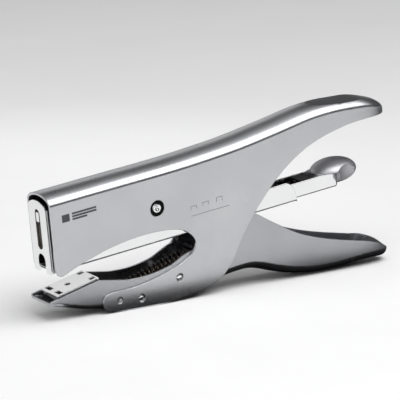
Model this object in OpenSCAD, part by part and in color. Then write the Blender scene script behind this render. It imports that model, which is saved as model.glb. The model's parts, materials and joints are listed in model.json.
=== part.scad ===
// Plier stapler: a pressed steel shell, a squeeze lever, a swinging magazine and a riveted anvil jaw.
// Every piece is drawn in the head's own frame: the main pivot is at the origin, +X runs back along
// the head towards the handles, +Z is up and Y runs across. stand() then sets the tool down on its
// belly and on the heel of the lever, with the ground at Z = 0 and the middle of its length at X = 0.

/* [Overall] */
// Distance from the pivot to the front edge of the head
head_len = 55; // [46:0.5:66]
// Distance from the pivot to the end of the upper handle
tail_len = 132.6; // [111:0.2:160]
// Depth of the belly below the pivot
belly_depth = 45.3; // [40:0.1:55]

/* [Staples] */
// Outer width of a staple's crown
staple_w = 12.9; // [10.8:0.1:15.5]
// Length of a staple's leg
staple_leg = 8; // [6:0.5:8]
// Thickness of the staple wire across the leg
wire_t = 0.5; // [0.4:0.05:0.6]
// Length of the strip of staples
strip_len = 34; // [20:1:40]
// Clearance beside the staples, each side
staple_gap = 0.1; // [0.05:0.05:0.2]

/* [Sheet metal] */
// Sheet thickness of the shell
shell_t = 1.2; // [0.9:0.1:1.6]
// Sheet thickness of the squeeze lever
lever_t = 0.9; // [0.7:0.05:1.2]
// Sheet thickness of the lower jaw
jaw_t = 1.1; // [0.8:0.1:1.4]
// Sheet thickness of the magazine channel and its rail
channel_t = 0.7; // [0.5:0.05:0.9]
// Thickness of the magazine's front plate
front_t = 1; // [0.8:0.1:1.3]
// Thickness of the driver blade
blade_t = 0.6; // [0.5:0.05:0.8]
// Thickness of the anvil plate
anvil_t = 1.2; // [1:0.1:1.6]

/* [Clearances] */
// Gap between the magazine and the lever, each side
slide_gap = 0.25; // [0.15:0.05:0.5]
// Gap between the lever and the shell, each side
lever_gap = 0.2; // [0.15:0.05:0.4]
// Radial clearance of the holes that turn on the pivot pin
pivot_gap = 0.05; // [0.02:0.01:0.1]
// Gap between the anvil plate and the walls of the jaw
anvil_gap = 0.4; // [0.2:0.1:0.8]

/* [Pins and rivets] */
// Radius of the main pivot pin
pivot_r = 2.5; // [2:0.1:3]
// Outer radius of the blackened collars round the pivot pin
collar_r = 3.7; // [3.3:0.1:4.5]
// Radius of the rivets that hold the jaw
jaw_rivet_r = 1.8; // [1.4:0.1:2.2]
// Radius of the spring's anchor pin, its hook pin and the driver's cross pin
pin_r = 1.5; // [1.2:0.1:1.8]
// Radius of the rod that guides the feed spring
rod_r = 1; // [0.8:0.1:1.2]

/* [Crown and handles] */
// Height of the flat sides above the pivot
flat_top = 14.2; // [13.8:0.1:16]
// Rise of the arched crown above the flat sides
crown_rise = 4.8; // [4.2:0.1:6]
// Height of the rounded underside of the lever
lever_round = 5; // [3.5:0.5:6]

/* [Magazine] */
// Level of the magazine's underside, below the pivot
mag_drop = 17.1; // [17:0.1:18]
// Level of the channel's top edges, below the pivot
channel_drop = 7; // [6.5:0.1:7.4]
// Width of the slot in the front plate
slot_w = 4.2; // [3.2:0.1:4.5]

/* [Knob] */
// Length of the knob
knob_len = 23.5; // [18:0.5:28]
// Width of the knob
knob_w = 19.2; // [15:0.1:19.4]
// Height of the knob
knob_h = 11.5; // [10:0.5:14]

/* [Springs] */
// Mean radius of the return spring's coil
return_coil_r = 2.8; // [2.3:0.1:3.2]
// Radius of the return spring's wire
return_wire_r = 0.5; // [0.4:0.05:0.6]
// Mean radius of the feed spring's coil
feed_coil_r = 2.3; // [2:0.1:2.5]
// Radius of the feed spring's wire
feed_wire_r = 0.35; // [0.3:0.05:0.4]

/* [Hidden] */
$fn = 48;

// The outlines below are drawn for these lengths, and stretch with the sizes above.
drawn_head = 55;
drawn_tail = 132.6;
drawn_belly = 45.3;
drawn_flat = 14.2;

function along(x) = x < 0 ? x * head_len / drawn_head : x * tail_len / drawn_tail;
function level(z) = z < 0 ? z * belly_depth / drawn_belly : z;
function place(p) = [along(p[0]), level(p[1])];
function upper(p) = [along(p[0]), p[1] + flat_top - drawn_flat];

// Small gaps between neighbours inside the magazine and the driver.
rail_gap = 0.1;
crown_gap = 0.05;
blade_gap = 0.1;
feed_gap = 0.2;
follower_gap = 0.1;
guide_gap = 0.2;

// Nested half widths, from the staples outwards.
channel_in = staple_w / 2 + staple_gap;
channel_out = channel_in + channel_t;
lever_in = channel_out + slide_gap;
lever_out = lever_in + lever_t;
shell_in = lever_out + lever_gap;
shell_out = shell_in + shell_t;
rail_out = staple_w / 2 - wire_t - staple_gap;
rail_in = rail_out - channel_t;
jaw_in = shell_in - jaw_t;

// Levels inside the magazine.
mag_bottom = -mag_drop;
channel_top = -channel_drop;
floor_top = mag_bottom + channel_t;
staple_bottom = floor_top + staple_gap;
crown_top = staple_bottom + staple_leg;
rail_top = crown_top - wire_t - crown_gap;
rail_bottom = floor_top + rail_gap;
rod_z = (rail_top + rail_bottom + channel_t) / 2;

// Stations along the magazine.
plate_stand = 1.2;
front_face = -head_len - plate_stand;
front_back = front_face + front_t;
blade_front = front_back + blade_gap;
blade_back = blade_front + blade_t;
feed_start = blade_back + feed_gap;
mag_rear = along(77.6);
rail_rear = along(101.5);
strip_end = feed_start + strip_len;
follower_start = strip_end + follower_gap;
follower_len = 8;
anchor_len = 6;
anchor_setback = 17.5;
anchor_x = rail_rear - anchor_setback;

// The driver at the top of its stroke, and the pin of the lever that moves it.
drive_setback = 5;
drive_x = -head_len + drive_setback;
drive_z = 5;
carrier_low = 1.6;
driver_top = 13.4;
stud_z = 8;
stud_r = 1.5;
stud_seat = 3;
cross_slack = 0.25;

// Pins of the return spring, and rivets of the jaw.
anchor_at = place([-24.1, -37.3]);
hook_at = place([24.5, -28]);
rivets_at = [place([-12.6, -39.3]), place([8.5, -35.2])];

// The anvil's upper face runs from its front edge up to its back edge.
anvil_front = place([-54.6, -27.7]);
anvil_back = place([-32.4, -24.7]);
anvil_tilt = atan2(anvil_back[1] - anvil_front[1], anvil_back[0] - anvil_front[0]);
anvil_len = norm(anvil_back - anvil_front);

// Where the tool stands: the belly of the shell and the heel of the lever.
belly_foot = place([-13, -44.1]);
lever_foot = place([91, -55.9]);
tilt = atan2(belly_foot[1] - lever_foot[1], lever_foot[0] - belly_foot[0]);

// Upper edge of the flat side, as [x, z].
side_line = [for (p = [[-55, 14.2], [-20, 14.2], [8, 14.2], [24.5, 14.6], [46.7, 15.8], [69, 18.2],
    [86, 20.3], [98, 20.7], [109.5, 20.1], [121, 18.7], [128, 16.6], [132.6, 15]]) upper(p)];
// Ridge of the crown where it runs down to the nose of the handle.
nose_ridge = [for (p = [[105, 0], [112, 0], [117, -0.1], [122.8, -0.8], [128.4, -1.5], [131.5, -2.6],
    [132.6, -3.6]]) [along(p[0]), p[1]]];
// Lower edge of the upper handle, near its nose.
nose_under = [for (p = [[110, 13.6], [118, 13.7], [124, 13.5], [128, 13.3], [132.6, 13.2]]) upper(p)];
// Back edge of the shell, from the upper handle round the belly to the front end of the plate.
back_edge = concat([for (p = [[112, 13.7], [103, 12.8], [91, 10.5], [79.5, 6.3]]) upper(p)],
    [for (p = [[67.5, -1], [55, -12.3], [45.5, -23.5], [39, -33.5], [34, -39.2], [29, -42.2],
    [22, -44.1], [12, -45.2], [0, -45.3], [-13, -44.1], [-22, -42.8], [-29, -41.5], [-31.7, -40.2],
    [-32.9, -38], [-32.6, -35.3], [-31, -33.4], [-28, -32.7]]) place(p)]);
// The throat, from the plate's front end round its back and forward to the head's lower corner.
throat_edge = [for (p = [[-28, -32.7], [-21, -33.1], [-13, -33.1], [-2, -31.9], [8, -29.5],
    [14, -27], [17.6, -24.2], [18.7, -21.2], [17.3, -17.8], [13, -14], [6, -11.7], [-5, -10.6],
    [-16, -10.8], [-27, -12], [-37.5, -14.2], [-46, -16.5], [-50.3, -17.9], [-52.6, -18.3],
    [-54.4, -17.2], [-55, -15]]) place(p)];

// Underside of the lever on its centre line, and its open rim.
lever_under = [for (p = [[36, -43.5], [44, -43.3], [50, -43.8], [56, -45.7], [62, -48.3], [70, -51.4],
    [78, -53.7], [84.5, -55], [91, -55.9], [98, -56.4], [106, -56.6], [113, -56.8], [119, -57.2],
    [124, -57.8], [127.5, -58.1], [130, -57.4]]) place(p)];
lever_rim = [for (p = [[36, -6], [45, -11.6], [54, -17], [61, -22], [68, -26.8], [77, -32.4], [88, -37.3],
    [99.5, -41.4], [110, -44.6], [117, -46.8], [122, -49], [126, -51.4], [130, -54]]) place(p)];
// Side view of one lever arm, in front of the handle.
arm_top = [for (p = [[-40, 9.4], [-8, 9.4], [8, 8.4], [20, 3.8], [30, -2.1], [36.5, -6.3]]) place(p)];
arm_under = [for (p = [[36.5, -38.5], [30, -38.6], [25, -37], [21.5, -33.4], [20, -28], [19.9, -21],
    [17, -14.5], [12, -10], [4, -7.6], [-6, -6.4], [-30, -2.6]]) place(p)];

// Side view of the lower jaw: its upper edge and its underside.
jaw_upper = [for (p = [[-32.2, -25.9], [-27.4, -27.1], [-22, -28.5], [-17, -29.6], [-6.4, -30.3], [4.6, -29],
    [10, -27], [15, -25.2], [19.4, -24.6]]) place(p)];
jaw_under = [for (p = [[-58.8, -31], [-50, -34.4], [-42, -37.1], [-32, -39.7], [-22, -42.4], [-13, -43.7],
    [0, -44.9], [12, -44.8], [19.4, -44]]) place(p)];

// Cubic curve through points [x, z] in order of x: its slope at point i, the span that holds x,
// and its height at x.
function slope(p, i) = let (a = max(i - 1, 0), b = min(i + 1, len(p) - 1))
    (p[b][1] - p[a][1]) / (p[b][0] - p[a][0]);
function span(p, x, i = 0) = i >= len(p) - 2 || x < p[i + 1][0] ? i : span(p, x, i + 1);
function height(p, x) = let (i = span(p, x), h = p[i + 1][0] - p[i][0], t = (x - p[i][0]) / h)
    p[i][1] * (2 * t - 3) * t * t + p[i][1] + p[i + 1][1] * (3 - 2 * t) * t * t
    + h * t * (slope(p, i) * (t - 1) * (t - 1) + slope(p, i + 1) * t * (t - 1));

// Smooth curve through points of a free outline, with n steps between neighbours.
function bend(a, b, c, d, t) = 0.5 * (2 * b + (c - a) * t + (2 * a - 5 * b + 4 * c - d) * t * t
    + (3 * b - a - 3 * c + d) * t * t * t);
function smooth(p, n = 3) = concat([for (i = [0 : len(p) - 2], k = [0 : n - 1])
    bend(p[max(i - 1, 0)], p[i], p[i + 1], p[min(i + 2, len(p) - 1)], k / n)], [p[len(p) - 1]]);

function reverse(p) = [for (i = [len(p) - 1 : -1 : 0]) p[i]];

// Half width of a rounded nose: full at the root, closing towards the tip.
nose_power = 3;
nose_close = 0.995;
function nose(x, root, tip, half) = x <= root ? half :
    half * pow(1 - pow(min((x - root) / (tip - root), nose_close), nose_power), 1 / nose_power);

// Height of the crown's ridge, which stays a little above the flat side at the very tip.
least_rise = 0.4;
function ridge(x) = height(side_line, x) + max(crown_rise + (x > nose_ridge[0][0] ? height(nose_ridge, x)
    : 0), least_rise);

// Cross-section at x: straight sides from the open edge to the edge of the arch, then the arch.
arch_steps = 10;
function arch(x, half, z_open, z_edge, z_top) = concat([[x, -half, z_open]],
    [for (k = [0 : arch_steps]) [x, -half * cos(180 * k / arch_steps),
    z_edge + (z_top - z_edge) * sin(180 * k / arch_steps)]], [[x, half, z_open]]);

// Closed solid through a row of cross-sections.
module skin(rows) {
    n = len(rows[0]);
    m = len(rows);
    sides = [for (i = [0 : m - 2], j = [0 : n - 1]) let (a = i * n + j, b = i * n + (j + 1) % n)
        each [[a, b, b + n], [a, b + n, a + n]]];
    caps = [[for (j = [n - 1 : -1 : 0]) j], [for (j = [0 : n - 1]) (m - 1) * n + j]];
    polyhedron([for (row = rows) each row], concat(sides, caps), convexity = 8);
}

// Coil of round wire along +X from the origin.
module coil(r, wire_r, length, turns, steps = 8, wire_sides = 5) {
    total = turns * steps;
    rows = [for (i = [0 : total]) let (a = 360 * i / steps, x = length * i / total)
        [for (k = [0 : wire_sides - 1]) let (b = 360 * k / wire_sides, q = r + wire_r * cos(b))
        [x + wire_r * sin(b), q * cos(a), q * sin(a)]]];
    skin(rows);
}

// Set the tool on the ground, centred on its length.
front_top = flat_top + 0.3;
front_reach = front_face * cos(tilt) - front_top * sin(tilt);
lever_tip = place([130, -56]);
back_reach = lever_tip[0] * cos(tilt) - lever_tip[1] * sin(tilt);
ground = belly_foot[0] * sin(tilt) + belly_foot[1] * cos(tilt);
module stand() {
    translate([-(front_reach + back_reach) / 2, 0, -ground])
        rotate([0, -tilt, 0])
            children();
}

// Extrude a side view, drawn as [x, z], from y0 to y1.
module across(y0, y1) {
    rotate([90, 0, 0])
        translate([0, 0, -y1])
            linear_extrude(y1 - y0)
                children();
}

// The same on both sides of the middle plane.
module both_sides(y0, y1) {
    across(y0, y1)
        children();
    across(-y1, -y0)
        children();
}

// Round bar across the tool.
module bar(at, r, half) {
    translate([at[0], 0, at[1]])
        rotate([90, 0, 0])
            cylinder(h = 2 * half, r = r, center = true);
}

module box(x0, x1, y0, y1, z0, z1) {
    translate([x0, y0, z0])
        cube([x1 - x0, y1 - y0, z1 - z0]);
}

// ---- Shell -------------------------------------------------------------------------------------

nose_root = along(109);
shell_tip = along(132.6);
plate_end = along(112);
fold_lip = 0.5;
open_cut = 2;
crown_stations = concat([along(-55), along(8)], [for (x = [16 : 6 : 106]) along(x)], [plate_end],
    [for (x = [115, 118, 121, 123.5, 126, 128, 129.6, 131, 132, 132.6]) along(x)]);

module side_plate() {
    top = [for (x = crown_stations) if (x <= plate_end) [x, height(side_line, x)]];
    polygon(concat(top, smooth(back_edge), smooth(throat_edge)));
}

module crown_outer() {
    skin([for (x = crown_stations) arch(x, nose(x, nose_root, shell_tip, shell_out),
        x < plate_end ? height(side_line, x) - fold_lip : height(nose_under, x),
        height(side_line, x), ridge(x))]);
}

module crown_inner() {
    tip = shell_tip - shell_t;
    inner = concat([along(-55) - 1], [for (x = crown_stations) if (x > along(-55) && x < tip - 0.5) x],
        [tip - 0.1]);
    skin([for (x = inner) arch(x, nose(x, nose_root, tip, shell_in),
        (x < plate_end ? height(side_line, x) : height(nose_under, x)) - open_cut, height(side_line, x),
        max(ridge(min(x + shell_t / 2, shell_tip)) - shell_t, height(side_line, x) + 0.1))]);
}

module body_shell() {
    dimple_depth = 0.5;
    color("silver")
        difference() {
            union() {
                difference() {
                    crown_outer();
                    crown_inner();
                }
                both_sides(shell_in, shell_out)
                    side_plate();
            }
            bar([0, 0], collar_r, shell_out + 1);
            for (at = rivets_at)
                bar(at, jaw_rivet_r, shell_out + 1);
            // Locating dimples pressed into the plates beside the jaw
            both_sides(shell_out - dimple_depth, shell_out + 1)
                translate(anchor_at)
                    circle(r = pin_r);
        }
}

// ---- Lower jaw and anvil -----------------------------------------------------------------------

module jaw_side() {
    // The walls stop a little below the anvil's upper face.
    wall_front = [anvil_front[0] - 2.8, anvil_front[1] - 1.3];
    wall_back = [anvil_back[0] - 0.6, anvil_back[1] - 0.9];
    polygon(concat([wall_front, wall_back], smooth(jaw_upper), reverse(smooth(jaw_under))));
}

module jaw_floor() {
    under = smooth(jaw_under);
    polygon(concat(under, reverse([for (p = under) [p[0], p[1] + jaw_t]])));
}

module lower_jaw() {
    color("gainsboro")
        difference() {
            union() {
                both_sides(jaw_in, shell_in)
                    jaw_side();
                across(-shell_in, shell_in)
                    jaw_floor();
            }
            for (at = rivets_at)
                bar(at, jaw_rivet_r, shell_out);
            bar(anchor_at, pin_r, shell_out);
        }
}

anvil_half = jaw_in - anvil_gap;
anvil_flange = 2.6;
flange_t = 0.8;
flange_inset = 2;
rivet_share = 0.4553;
rivet_along = rivet_share * anvil_len;
anvil_rivet_r = 0.9;

// Frame on the anvil's upper face: +X back along it, +Z out of it, origin at its front edge.
module on_anvil() {
    translate([anvil_front[0], 0, anvil_front[1]])
        rotate([0, -anvil_tilt, 0])
            children();
}

module anvil_plate() {
    pocket_x = 2.3;
    pocket_len = 2.1;
    pocket_depth = 0.5;
    pocket_out = staple_w / 2 - 0.05;
    pocket_w = 4.4;
    notch = 1.6;
    color("white")
        on_anvil()
            difference() {
                union() {
                    box(0, anvil_len, -anvil_half, anvil_half, -anvil_t, 0);
                    for (side = [-1, 1])
                        translate([anvil_len / 2, side * (anvil_half - flange_t / 2), -anvil_flange / 2])
                            cube([anvil_len - 2 * flange_inset, flange_t, anvil_flange], center = true);
                }
                // Grooves that curl the staple's legs inwards
                for (side = [-1, 1])
                    translate([pocket_x + pocket_len / 2, side * (pocket_out - pocket_w / 2), 0])
                        cube([pocket_len, pocket_w, 2 * pocket_depth], center = true);
                // Relief notches in the back edge
                for (side = [-1, 1])
                    translate([anvil_len, side * (anvil_half - notch), 0])
                        cube([2 * notch, notch, 3 * anvil_t], center = true);
                translate([rivet_along, 0, 0])
                    cylinder(h = 4 * anvil_t, r = anvil_rivet_r, center = true);
            }
}

// The bridge under the anvil is the rivet's collar, which stands on the floor of the jaw.
module anvil_rivet() {
    seat = anvil_front[0] + rivet_along * cos(anvil_tilt);
    head_gap = 0.3;
    collar_out = 2.2;
    collar_lift = 0.5;
    floor_z = height(jaw_under, seat) + jaw_t;
    depth = anvil_front[1] + (seat - anvil_front[0]) * tan(anvil_tilt) - anvil_t - floor_z;
    color("dimgray")
        on_anvil() {
            translate([rivet_along, 0, -anvil_t])
                cylinder(h = anvil_t - head_gap, r = anvil_rivet_r);
            translate([rivet_along, 0, -anvil_t - depth + collar_lift])
                cylinder(h = depth - collar_lift, r = collar_out);
        }
}

// Four short rivets, each with a flat head inside the jaw, clear of the spring between them.
module jaw_rivets() {
    head_r = jaw_rivet_r + 0.7;
    head_h = 0.7;
    sunk = 0.15;
    color("white")
        for (at = rivets_at)
            union() {
                both_sides(jaw_in - head_h / 2, shell_out - sunk)
                    translate(at)
                        circle(r = jaw_rivet_r);
                both_sides(jaw_in - head_h, jaw_in)
                    translate(at)
                        circle(r = head_r);
            }
}

// ---- Main pivot --------------------------------------------------------------------------------

module pivot_pin() {
    step = 0.6;
    color("white")
        union() {
            bar([0, 0], pivot_r, shell_out - 0.5);
            bar([0, 0], pivot_r - step, shell_out - 0.1);
        }
}

module pivot_collars() {
    collar_t = 0.7;
    color("black")
        difference() {
            both_sides(shell_in, shell_in + collar_t)
                circle(r = collar_r);
            bar([0, 0], pivot_r, shell_out + 1);
        }
}

// ---- Return spring -----------------------------------------------------------------------------

module spring_anchor_pin() {
    color("gray")
        bar(anchor_at, pin_r, shell_in);
}

module spring_hook_pin() {
    color("gray")
        bar(hook_at, pin_r, lever_out);
}

// An open ring round a pin, flat in the middle plane.
ring_gap = 0.1;
ring_r = pin_r + return_wire_r + ring_gap;
module hook_ring(at, start) {
    translate([at[0], 0, at[1]])
        rotate([90, 0, 0])
            rotate([0, 0, start])
                rotate_extrude(angle = 300)
                    translate([ring_r, 0])
                        circle(r = return_wire_r, $fn = 16);
}

module return_spring() {
    run = hook_at - anchor_at;
    angle = atan2(run[1], run[0]);
    shank = 4;
    coil_len = norm(run) - 2 * ring_r - 2 * shank;
    first = ring_r + shank;
    color("dimgray") {
        hook_ring(anchor_at, angle + 30);
        hook_ring(hook_at, angle + 210);
        translate([anchor_at[0], 0, anchor_at[1]])
            rotate([0, -angle, 0]) {
                translate([first, 0, 0])
                    coil(return_coil_r, return_wire_r, coil_len, 16);
                // Straight ends from the coil to the rings
                for (x = [ring_r, first + coil_len - return_wire_r])
                    translate([x, 0, 0])
                        rotate([0, 90, 0])
                            cylinder(h = shank + return_wire_r, r = return_wire_r, $fn = 16);
                // Radial arms from the coil's ends to the axis
                for (x = [first, first + coil_len])
                    translate([x, 0, 0])
                        rotate([-90, 0, 0])
                            cylinder(h = return_coil_r, r = return_wire_r, $fn = 16);
            }
    }
}

// ---- Squeeze lever -----------------------------------------------------------------------------

lever_tip_x = along(130);
lever_nose_root = along(107);
lever_stations = concat([for (x = [36, 44, 50, 56, 62, 68, 76, 84, 91, 98, 106]) along(x)],
    [for (x = [110, 114, 118, 121, 124, 126, 127.6, 129, 129.7, 130]) along(x)]);

least_wall = 0.3;
function lever_edge(x) = let (low = height(lever_under, x), high = height(lever_rim, x))
    min(low + lever_round, high - least_wall);

// The lever is a trough, so its sections run the other way round from the shell's.
module lever_outer() {
    skin([for (x = lever_stations) arch(x, -nose(x, lever_nose_root, lever_tip_x, lever_out),
        height(lever_rim, x), lever_edge(x), height(lever_under, x))]);
}

module lever_inner() {
    tip = along(118);
    tip_gap = 0.6;
    root_setback = 6;
    open_rise = 4;
    start = lever_stations[0];
    stations = concat([start - 1], [for (x = lever_stations) if (x > start && x < tip) x], [tip + 0.5]);
    skin([for (x = stations) arch(x, -nose(x, lever_nose_root - root_setback, tip + tip_gap, lever_in),
        height(lever_rim, x) + open_rise, lever_edge(x), height(lever_under, x) + lever_t)]);
}

module lever_arm() {
    nose_x = -head_len + 2;
    arm_nose = [[nose_x + 5, 0.4], [nose_x + 0.6, 1.4], [nose_x, 3.5], [nose_x, 7.4], [nose_x + 0.6, 8.8],
        [nose_x + 2, 9.4]];
    polygon(concat(smooth(arm_top), smooth(arm_under), arm_nose));
}

module lower_handle() {
    color("darkgray")
        difference() {
            union() {
                difference() {
                    lever_outer();
                    lever_inner();
                }
                both_sides(lever_in, lever_out)
                    lever_arm();
            }
            bar([0, 0], pivot_r + pivot_gap, shell_out);
            bar(hook_at, pin_r, shell_out);
            bar([drive_x, drive_z], pin_r, shell_out);
        }
}

module driver_cross_pin() {
    color("gray")
        bar([drive_x, drive_z], pin_r, lever_out);
}

// ---- Magazine ----------------------------------------------------------------------------------

// Side view of one wall, with the ear that turns on the pivot pin and the cheek at the front.
module channel_wall() {
    ear_r = 6;
    ear_foot = 13;
    cheek_top = 12.6;
    cheek_w = 3;
    cheek_foot = 1.5;
    end_r = 5.4;
    square_end = mag_rear - end_r;
    polygon(concat([[front_back, mag_bottom], [front_back, cheek_top], [front_back + cheek_w, cheek_top],
        [front_back + cheek_w, channel_top + cheek_foot], [front_back + cheek_w + cheek_foot, channel_top],
        [-ear_foot, channel_top]], [for (a = [150 : -15 : 30]) ear_r * [cos(a), sin(a)]],
        [[ear_foot, channel_top], [square_end, channel_top]],
        [for (a = [75 : -15 : 0]) [square_end + end_r * cos(a),
        mag_bottom + (channel_top - mag_bottom) * sin(a)]]));
}

module magazine_channel() {
    color("white")
        difference() {
            union() {
                both_sides(channel_in, channel_out)
                    channel_wall();
                box(feed_start, mag_rear, -channel_out, channel_out, mag_bottom, floor_top);
            }
            bar([0, 0], pivot_r + pivot_gap, shell_out);
        }
}

module pivot_sleeve() {
    sleeve_t = 1.3;
    color("gray")
        difference() {
            bar([0, 0], pivot_r + sleeve_t, channel_in);
            bar([0, 0], pivot_r + pivot_gap, shell_out);
        }
}

// Front view of the front plate, drawn as [y, z].
plate_half = channel_out - 0.25;
plate_low = mag_bottom - 0.4;
module plate_view() {
    arch_low = flat_top - 1.8;
    arch_rise = 3.6;
    slot_low = -6.8;
    slot_high = 11.8;
    notch_half = 3;
    notch_top = -9;
    difference() {
        polygon(concat([[-plate_half, plate_low], [plate_half, plate_low]],
            [for (a = [0 : 12 : 180]) [plate_half * cos(a), arch_low + arch_rise * sin(a)]]));
        for (end = [slot_low + slot_w / 2, slot_high - slot_w / 2])
            translate([0, end])
                circle(d = slot_w);
        translate([-slot_w / 2, slot_low + slot_w / 2])
            square([slot_w, slot_high - slot_low - slot_w]);
        translate([0, notch_top - notch_half])
            circle(r = notch_half);
        translate([-notch_half, plate_low - 1])
            square([2 * notch_half, notch_top - notch_half - plate_low + 1]);
    }
}

module front_plate() {
    color("white")
        translate([front_face, 0, 0])
            rotate([90, 0, 90])
                linear_extrude(front_t)
                    plate_view();
}

module staple_strip() {
    half = staple_w / 2;
    color("gainsboro")
        union() {
            box(feed_start, strip_end, -half, half, crown_top - wire_t, crown_top);
            for (side = [-1, 1])
                translate([(feed_start + strip_end) / 2, side * (half - wire_t / 2),
                    (staple_bottom + crown_top) / 2])
                    cube([strip_len, wire_t, staple_leg], center = true);
        }
}

// ---- Driver ------------------------------------------------------------------------------------

driver_half = channel_in - guide_gap;
blade_lift = 0.3;

module driver_blade() {
    color("white")
        difference() {
            box(blade_front, blade_back, -driver_half, driver_half, crown_top + blade_lift, driver_top);
            translate([blade_front - 1, 0, stud_z])
                rotate([0, 90, 0])
                    cylinder(h = blade_t + 2, r = stud_r);
        }
}

module driver_carrier() {
    back = drive_x + 2.8;
    slot_r = pin_r + cross_slack;
    slide = 0.4;
    color("dimgray")
        difference() {
            box(blade_back, back, -driver_half, driver_half, carrier_low, driver_top);
            for (shift = [-slide, 0, slide])
                bar([drive_x + shift, drive_z], slot_r, shell_out);
            translate([blade_back - 1, 0, stud_z])
                rotate([0, 90, 0])
                    cylinder(h = stud_seat + 1, r = stud_r);
        }
}

module driver_stud() {
    front = front_face + 0.25;
    color("white")
        translate([front, 0, stud_z])
            rotate([0, 90, 0])
                cylinder(h = blade_back + stud_seat - front, r = stud_r);
}

// ---- Rail, knob and feed -----------------------------------------------------------------------

module rail_wall() {
    round_r = 3;
    polygon(concat([[feed_start, rail_bottom], [feed_start, rail_top]],
        [for (a = [90 : -15 : 0]) [rail_rear - round_r, rail_top - round_r] + round_r * [cos(a), sin(a)]],
        [[rail_rear, rail_bottom]]));
}

knob_rivet_x = rail_rear - 4.6;
knob_rivet_r = 1.4;
rod_start = feed_start + 6;
rod_fit = 0.08;

module core_rail() {
    color("white")
        difference() {
            union() {
                both_sides(rail_in, rail_out)
                    rail_wall();
                box(feed_start, rail_rear, -rail_out, rail_out, rail_bottom, rail_bottom + channel_t);
            }
            translate([knob_rivet_x, 0, rail_bottom - 1])
                cylinder(h = 4, r = knob_rivet_r);
        }
}

module guide_rod() {
    color("silver")
        translate([rod_start, 0, rod_z])
            rotate([0, 90, 0])
                cylinder(h = anchor_x + anchor_len - rod_start, r = rod_r);
}

module rod_anchor() {
    color("black")
        difference() {
            box(anchor_x, anchor_x + anchor_len, -rail_in, rail_in, rail_bottom + channel_t, rail_top - 1);
            translate([anchor_x - 1, 0, rod_z])
                rotate([0, 90, 0])
                    cylinder(h = anchor_len + 2, r = rod_r);
        }
}

knob_at = [rail_rear + 2.5, -9.7];

// Egg-shaped body of the knob, as rings across X, with a tiny flat at each end.
module knob_body(rings = 14, sides = 22) {
    flat_angle = 3;
    angles = [for (i = [0 : rings]) let (a = 180 * i / rings) min(max(a, flat_angle), 180 - flat_angle)];
    skin([for (a = angles) [for (k = [0 : sides - 1]) [-knob_len / 2 * cos(a) / cos(flat_angle),
        -knob_w / 2 * sin(a) * cos(360 * k / sides), knob_h / 2 * sin(a) * sin(360 * k / sides)]]]);
}

module knob() {
    neck_front = rail_rear - 9;
    neck_half = rail_in - 0.05;
    neck_top = rail_top + 0.6;
    color("gray")
        difference() {
            union() {
                difference() {
                    translate([knob_at[0], 0, knob_at[1]])
                        knob_body();
                    // Room for the end of the rail
                    box(rail_rear - 20, rail_rear + 0.1, -knob_w, knob_w, mag_bottom - 5, rail_top + 0.1);
                }
                box(neck_front, rail_rear + 1, -neck_half, neck_half, rail_bottom + channel_t, neck_top);
            }
            translate([knob_rivet_x, 0, rail_bottom - 1])
                cylinder(h = 6, r = knob_rivet_r);
        }
}

module knob_rivet() {
    head_h = 0.8;
    head_r = 2.3;
    shank_h = 4.9;
    color("white")
        union() {
            translate([knob_rivet_x, 0, rail_bottom])
                cylinder(h = shank_h, r = knob_rivet_r);
            translate([knob_rivet_x, 0, rail_bottom - head_h])
                cylinder(h = head_h, r = head_r);
        }
}

module pusher_follower() {
    side_gap = 0.15;
    saddle_half = channel_in - guide_gap;
    saddle_low = rail_top + 0.1;
    saddle_high = rail_top + 1.4;
    saddle_len = follower_len + 2;
    color("black")
        difference() {
            union() {
                box(follower_start, follower_start + follower_len, -rail_in + side_gap, rail_in - side_gap,
                    rail_bottom + channel_t + side_gap, saddle_low + 0.1);
                box(follower_start, follower_start + saddle_len, -saddle_half, saddle_half,
                    saddle_low, saddle_high);
            }
            translate([follower_start - 1, 0, rod_z])
                rotate([0, 90, 0])
                    cylinder(h = saddle_len + 2, r = rod_r + rod_fit);
        }
}

module pusher_spring() {
    start = follower_start + follower_len + feed_wire_r;
    color("dimgray")
        translate([start, 0, rod_z])
            coil(feed_coil_r, feed_wire_r, anchor_x - feed_wire_r - start, 30);
}

stand() body_shell();
stand() lower_jaw();
stand() anvil_plate();
stand() anvil_rivet();
stand() jaw_rivets();
stand() pivot_pin();
stand() pivot_collars();
stand() spring_anchor_pin();
stand() return_spring();
stand() lower_handle();
stand() spring_hook_pin();
stand() driver_cross_pin();
stand() magazine_channel();
stand() front_plate();
stand() pivot_sleeve();
stand() staple_strip();
stand() driver_blade();
stand() driver_carrier();
stand() driver_stud();
stand() core_rail();
stand() guide_rod();
stand() rod_anchor();
stand() knob();
stand() knob_rivet();
stand() pusher_follower();
stand() pusher_spring();
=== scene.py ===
# %% [markdown]
# # A plier stapler, dressed around its working frame
# A plier stapler is a handful of pressed steel pieces on one pin: a shell that is head and upper
# handle at once, a lever that is the lower handle, a magazine that swings between them, and a jaw
# with a small anvil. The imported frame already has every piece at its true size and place, and it
# moves. What it lacks is what the press and the polishing wheel leave behind: folded corners,
# rolled edges, a finger dish in the knob, and metal that looks like metal. This lesson adds those,
# one piece at a time, and never moves the frame.

# %% Load the frame
import json
import math
import bpy
import bmesh
from mathutils import Matrix, Vector


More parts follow.
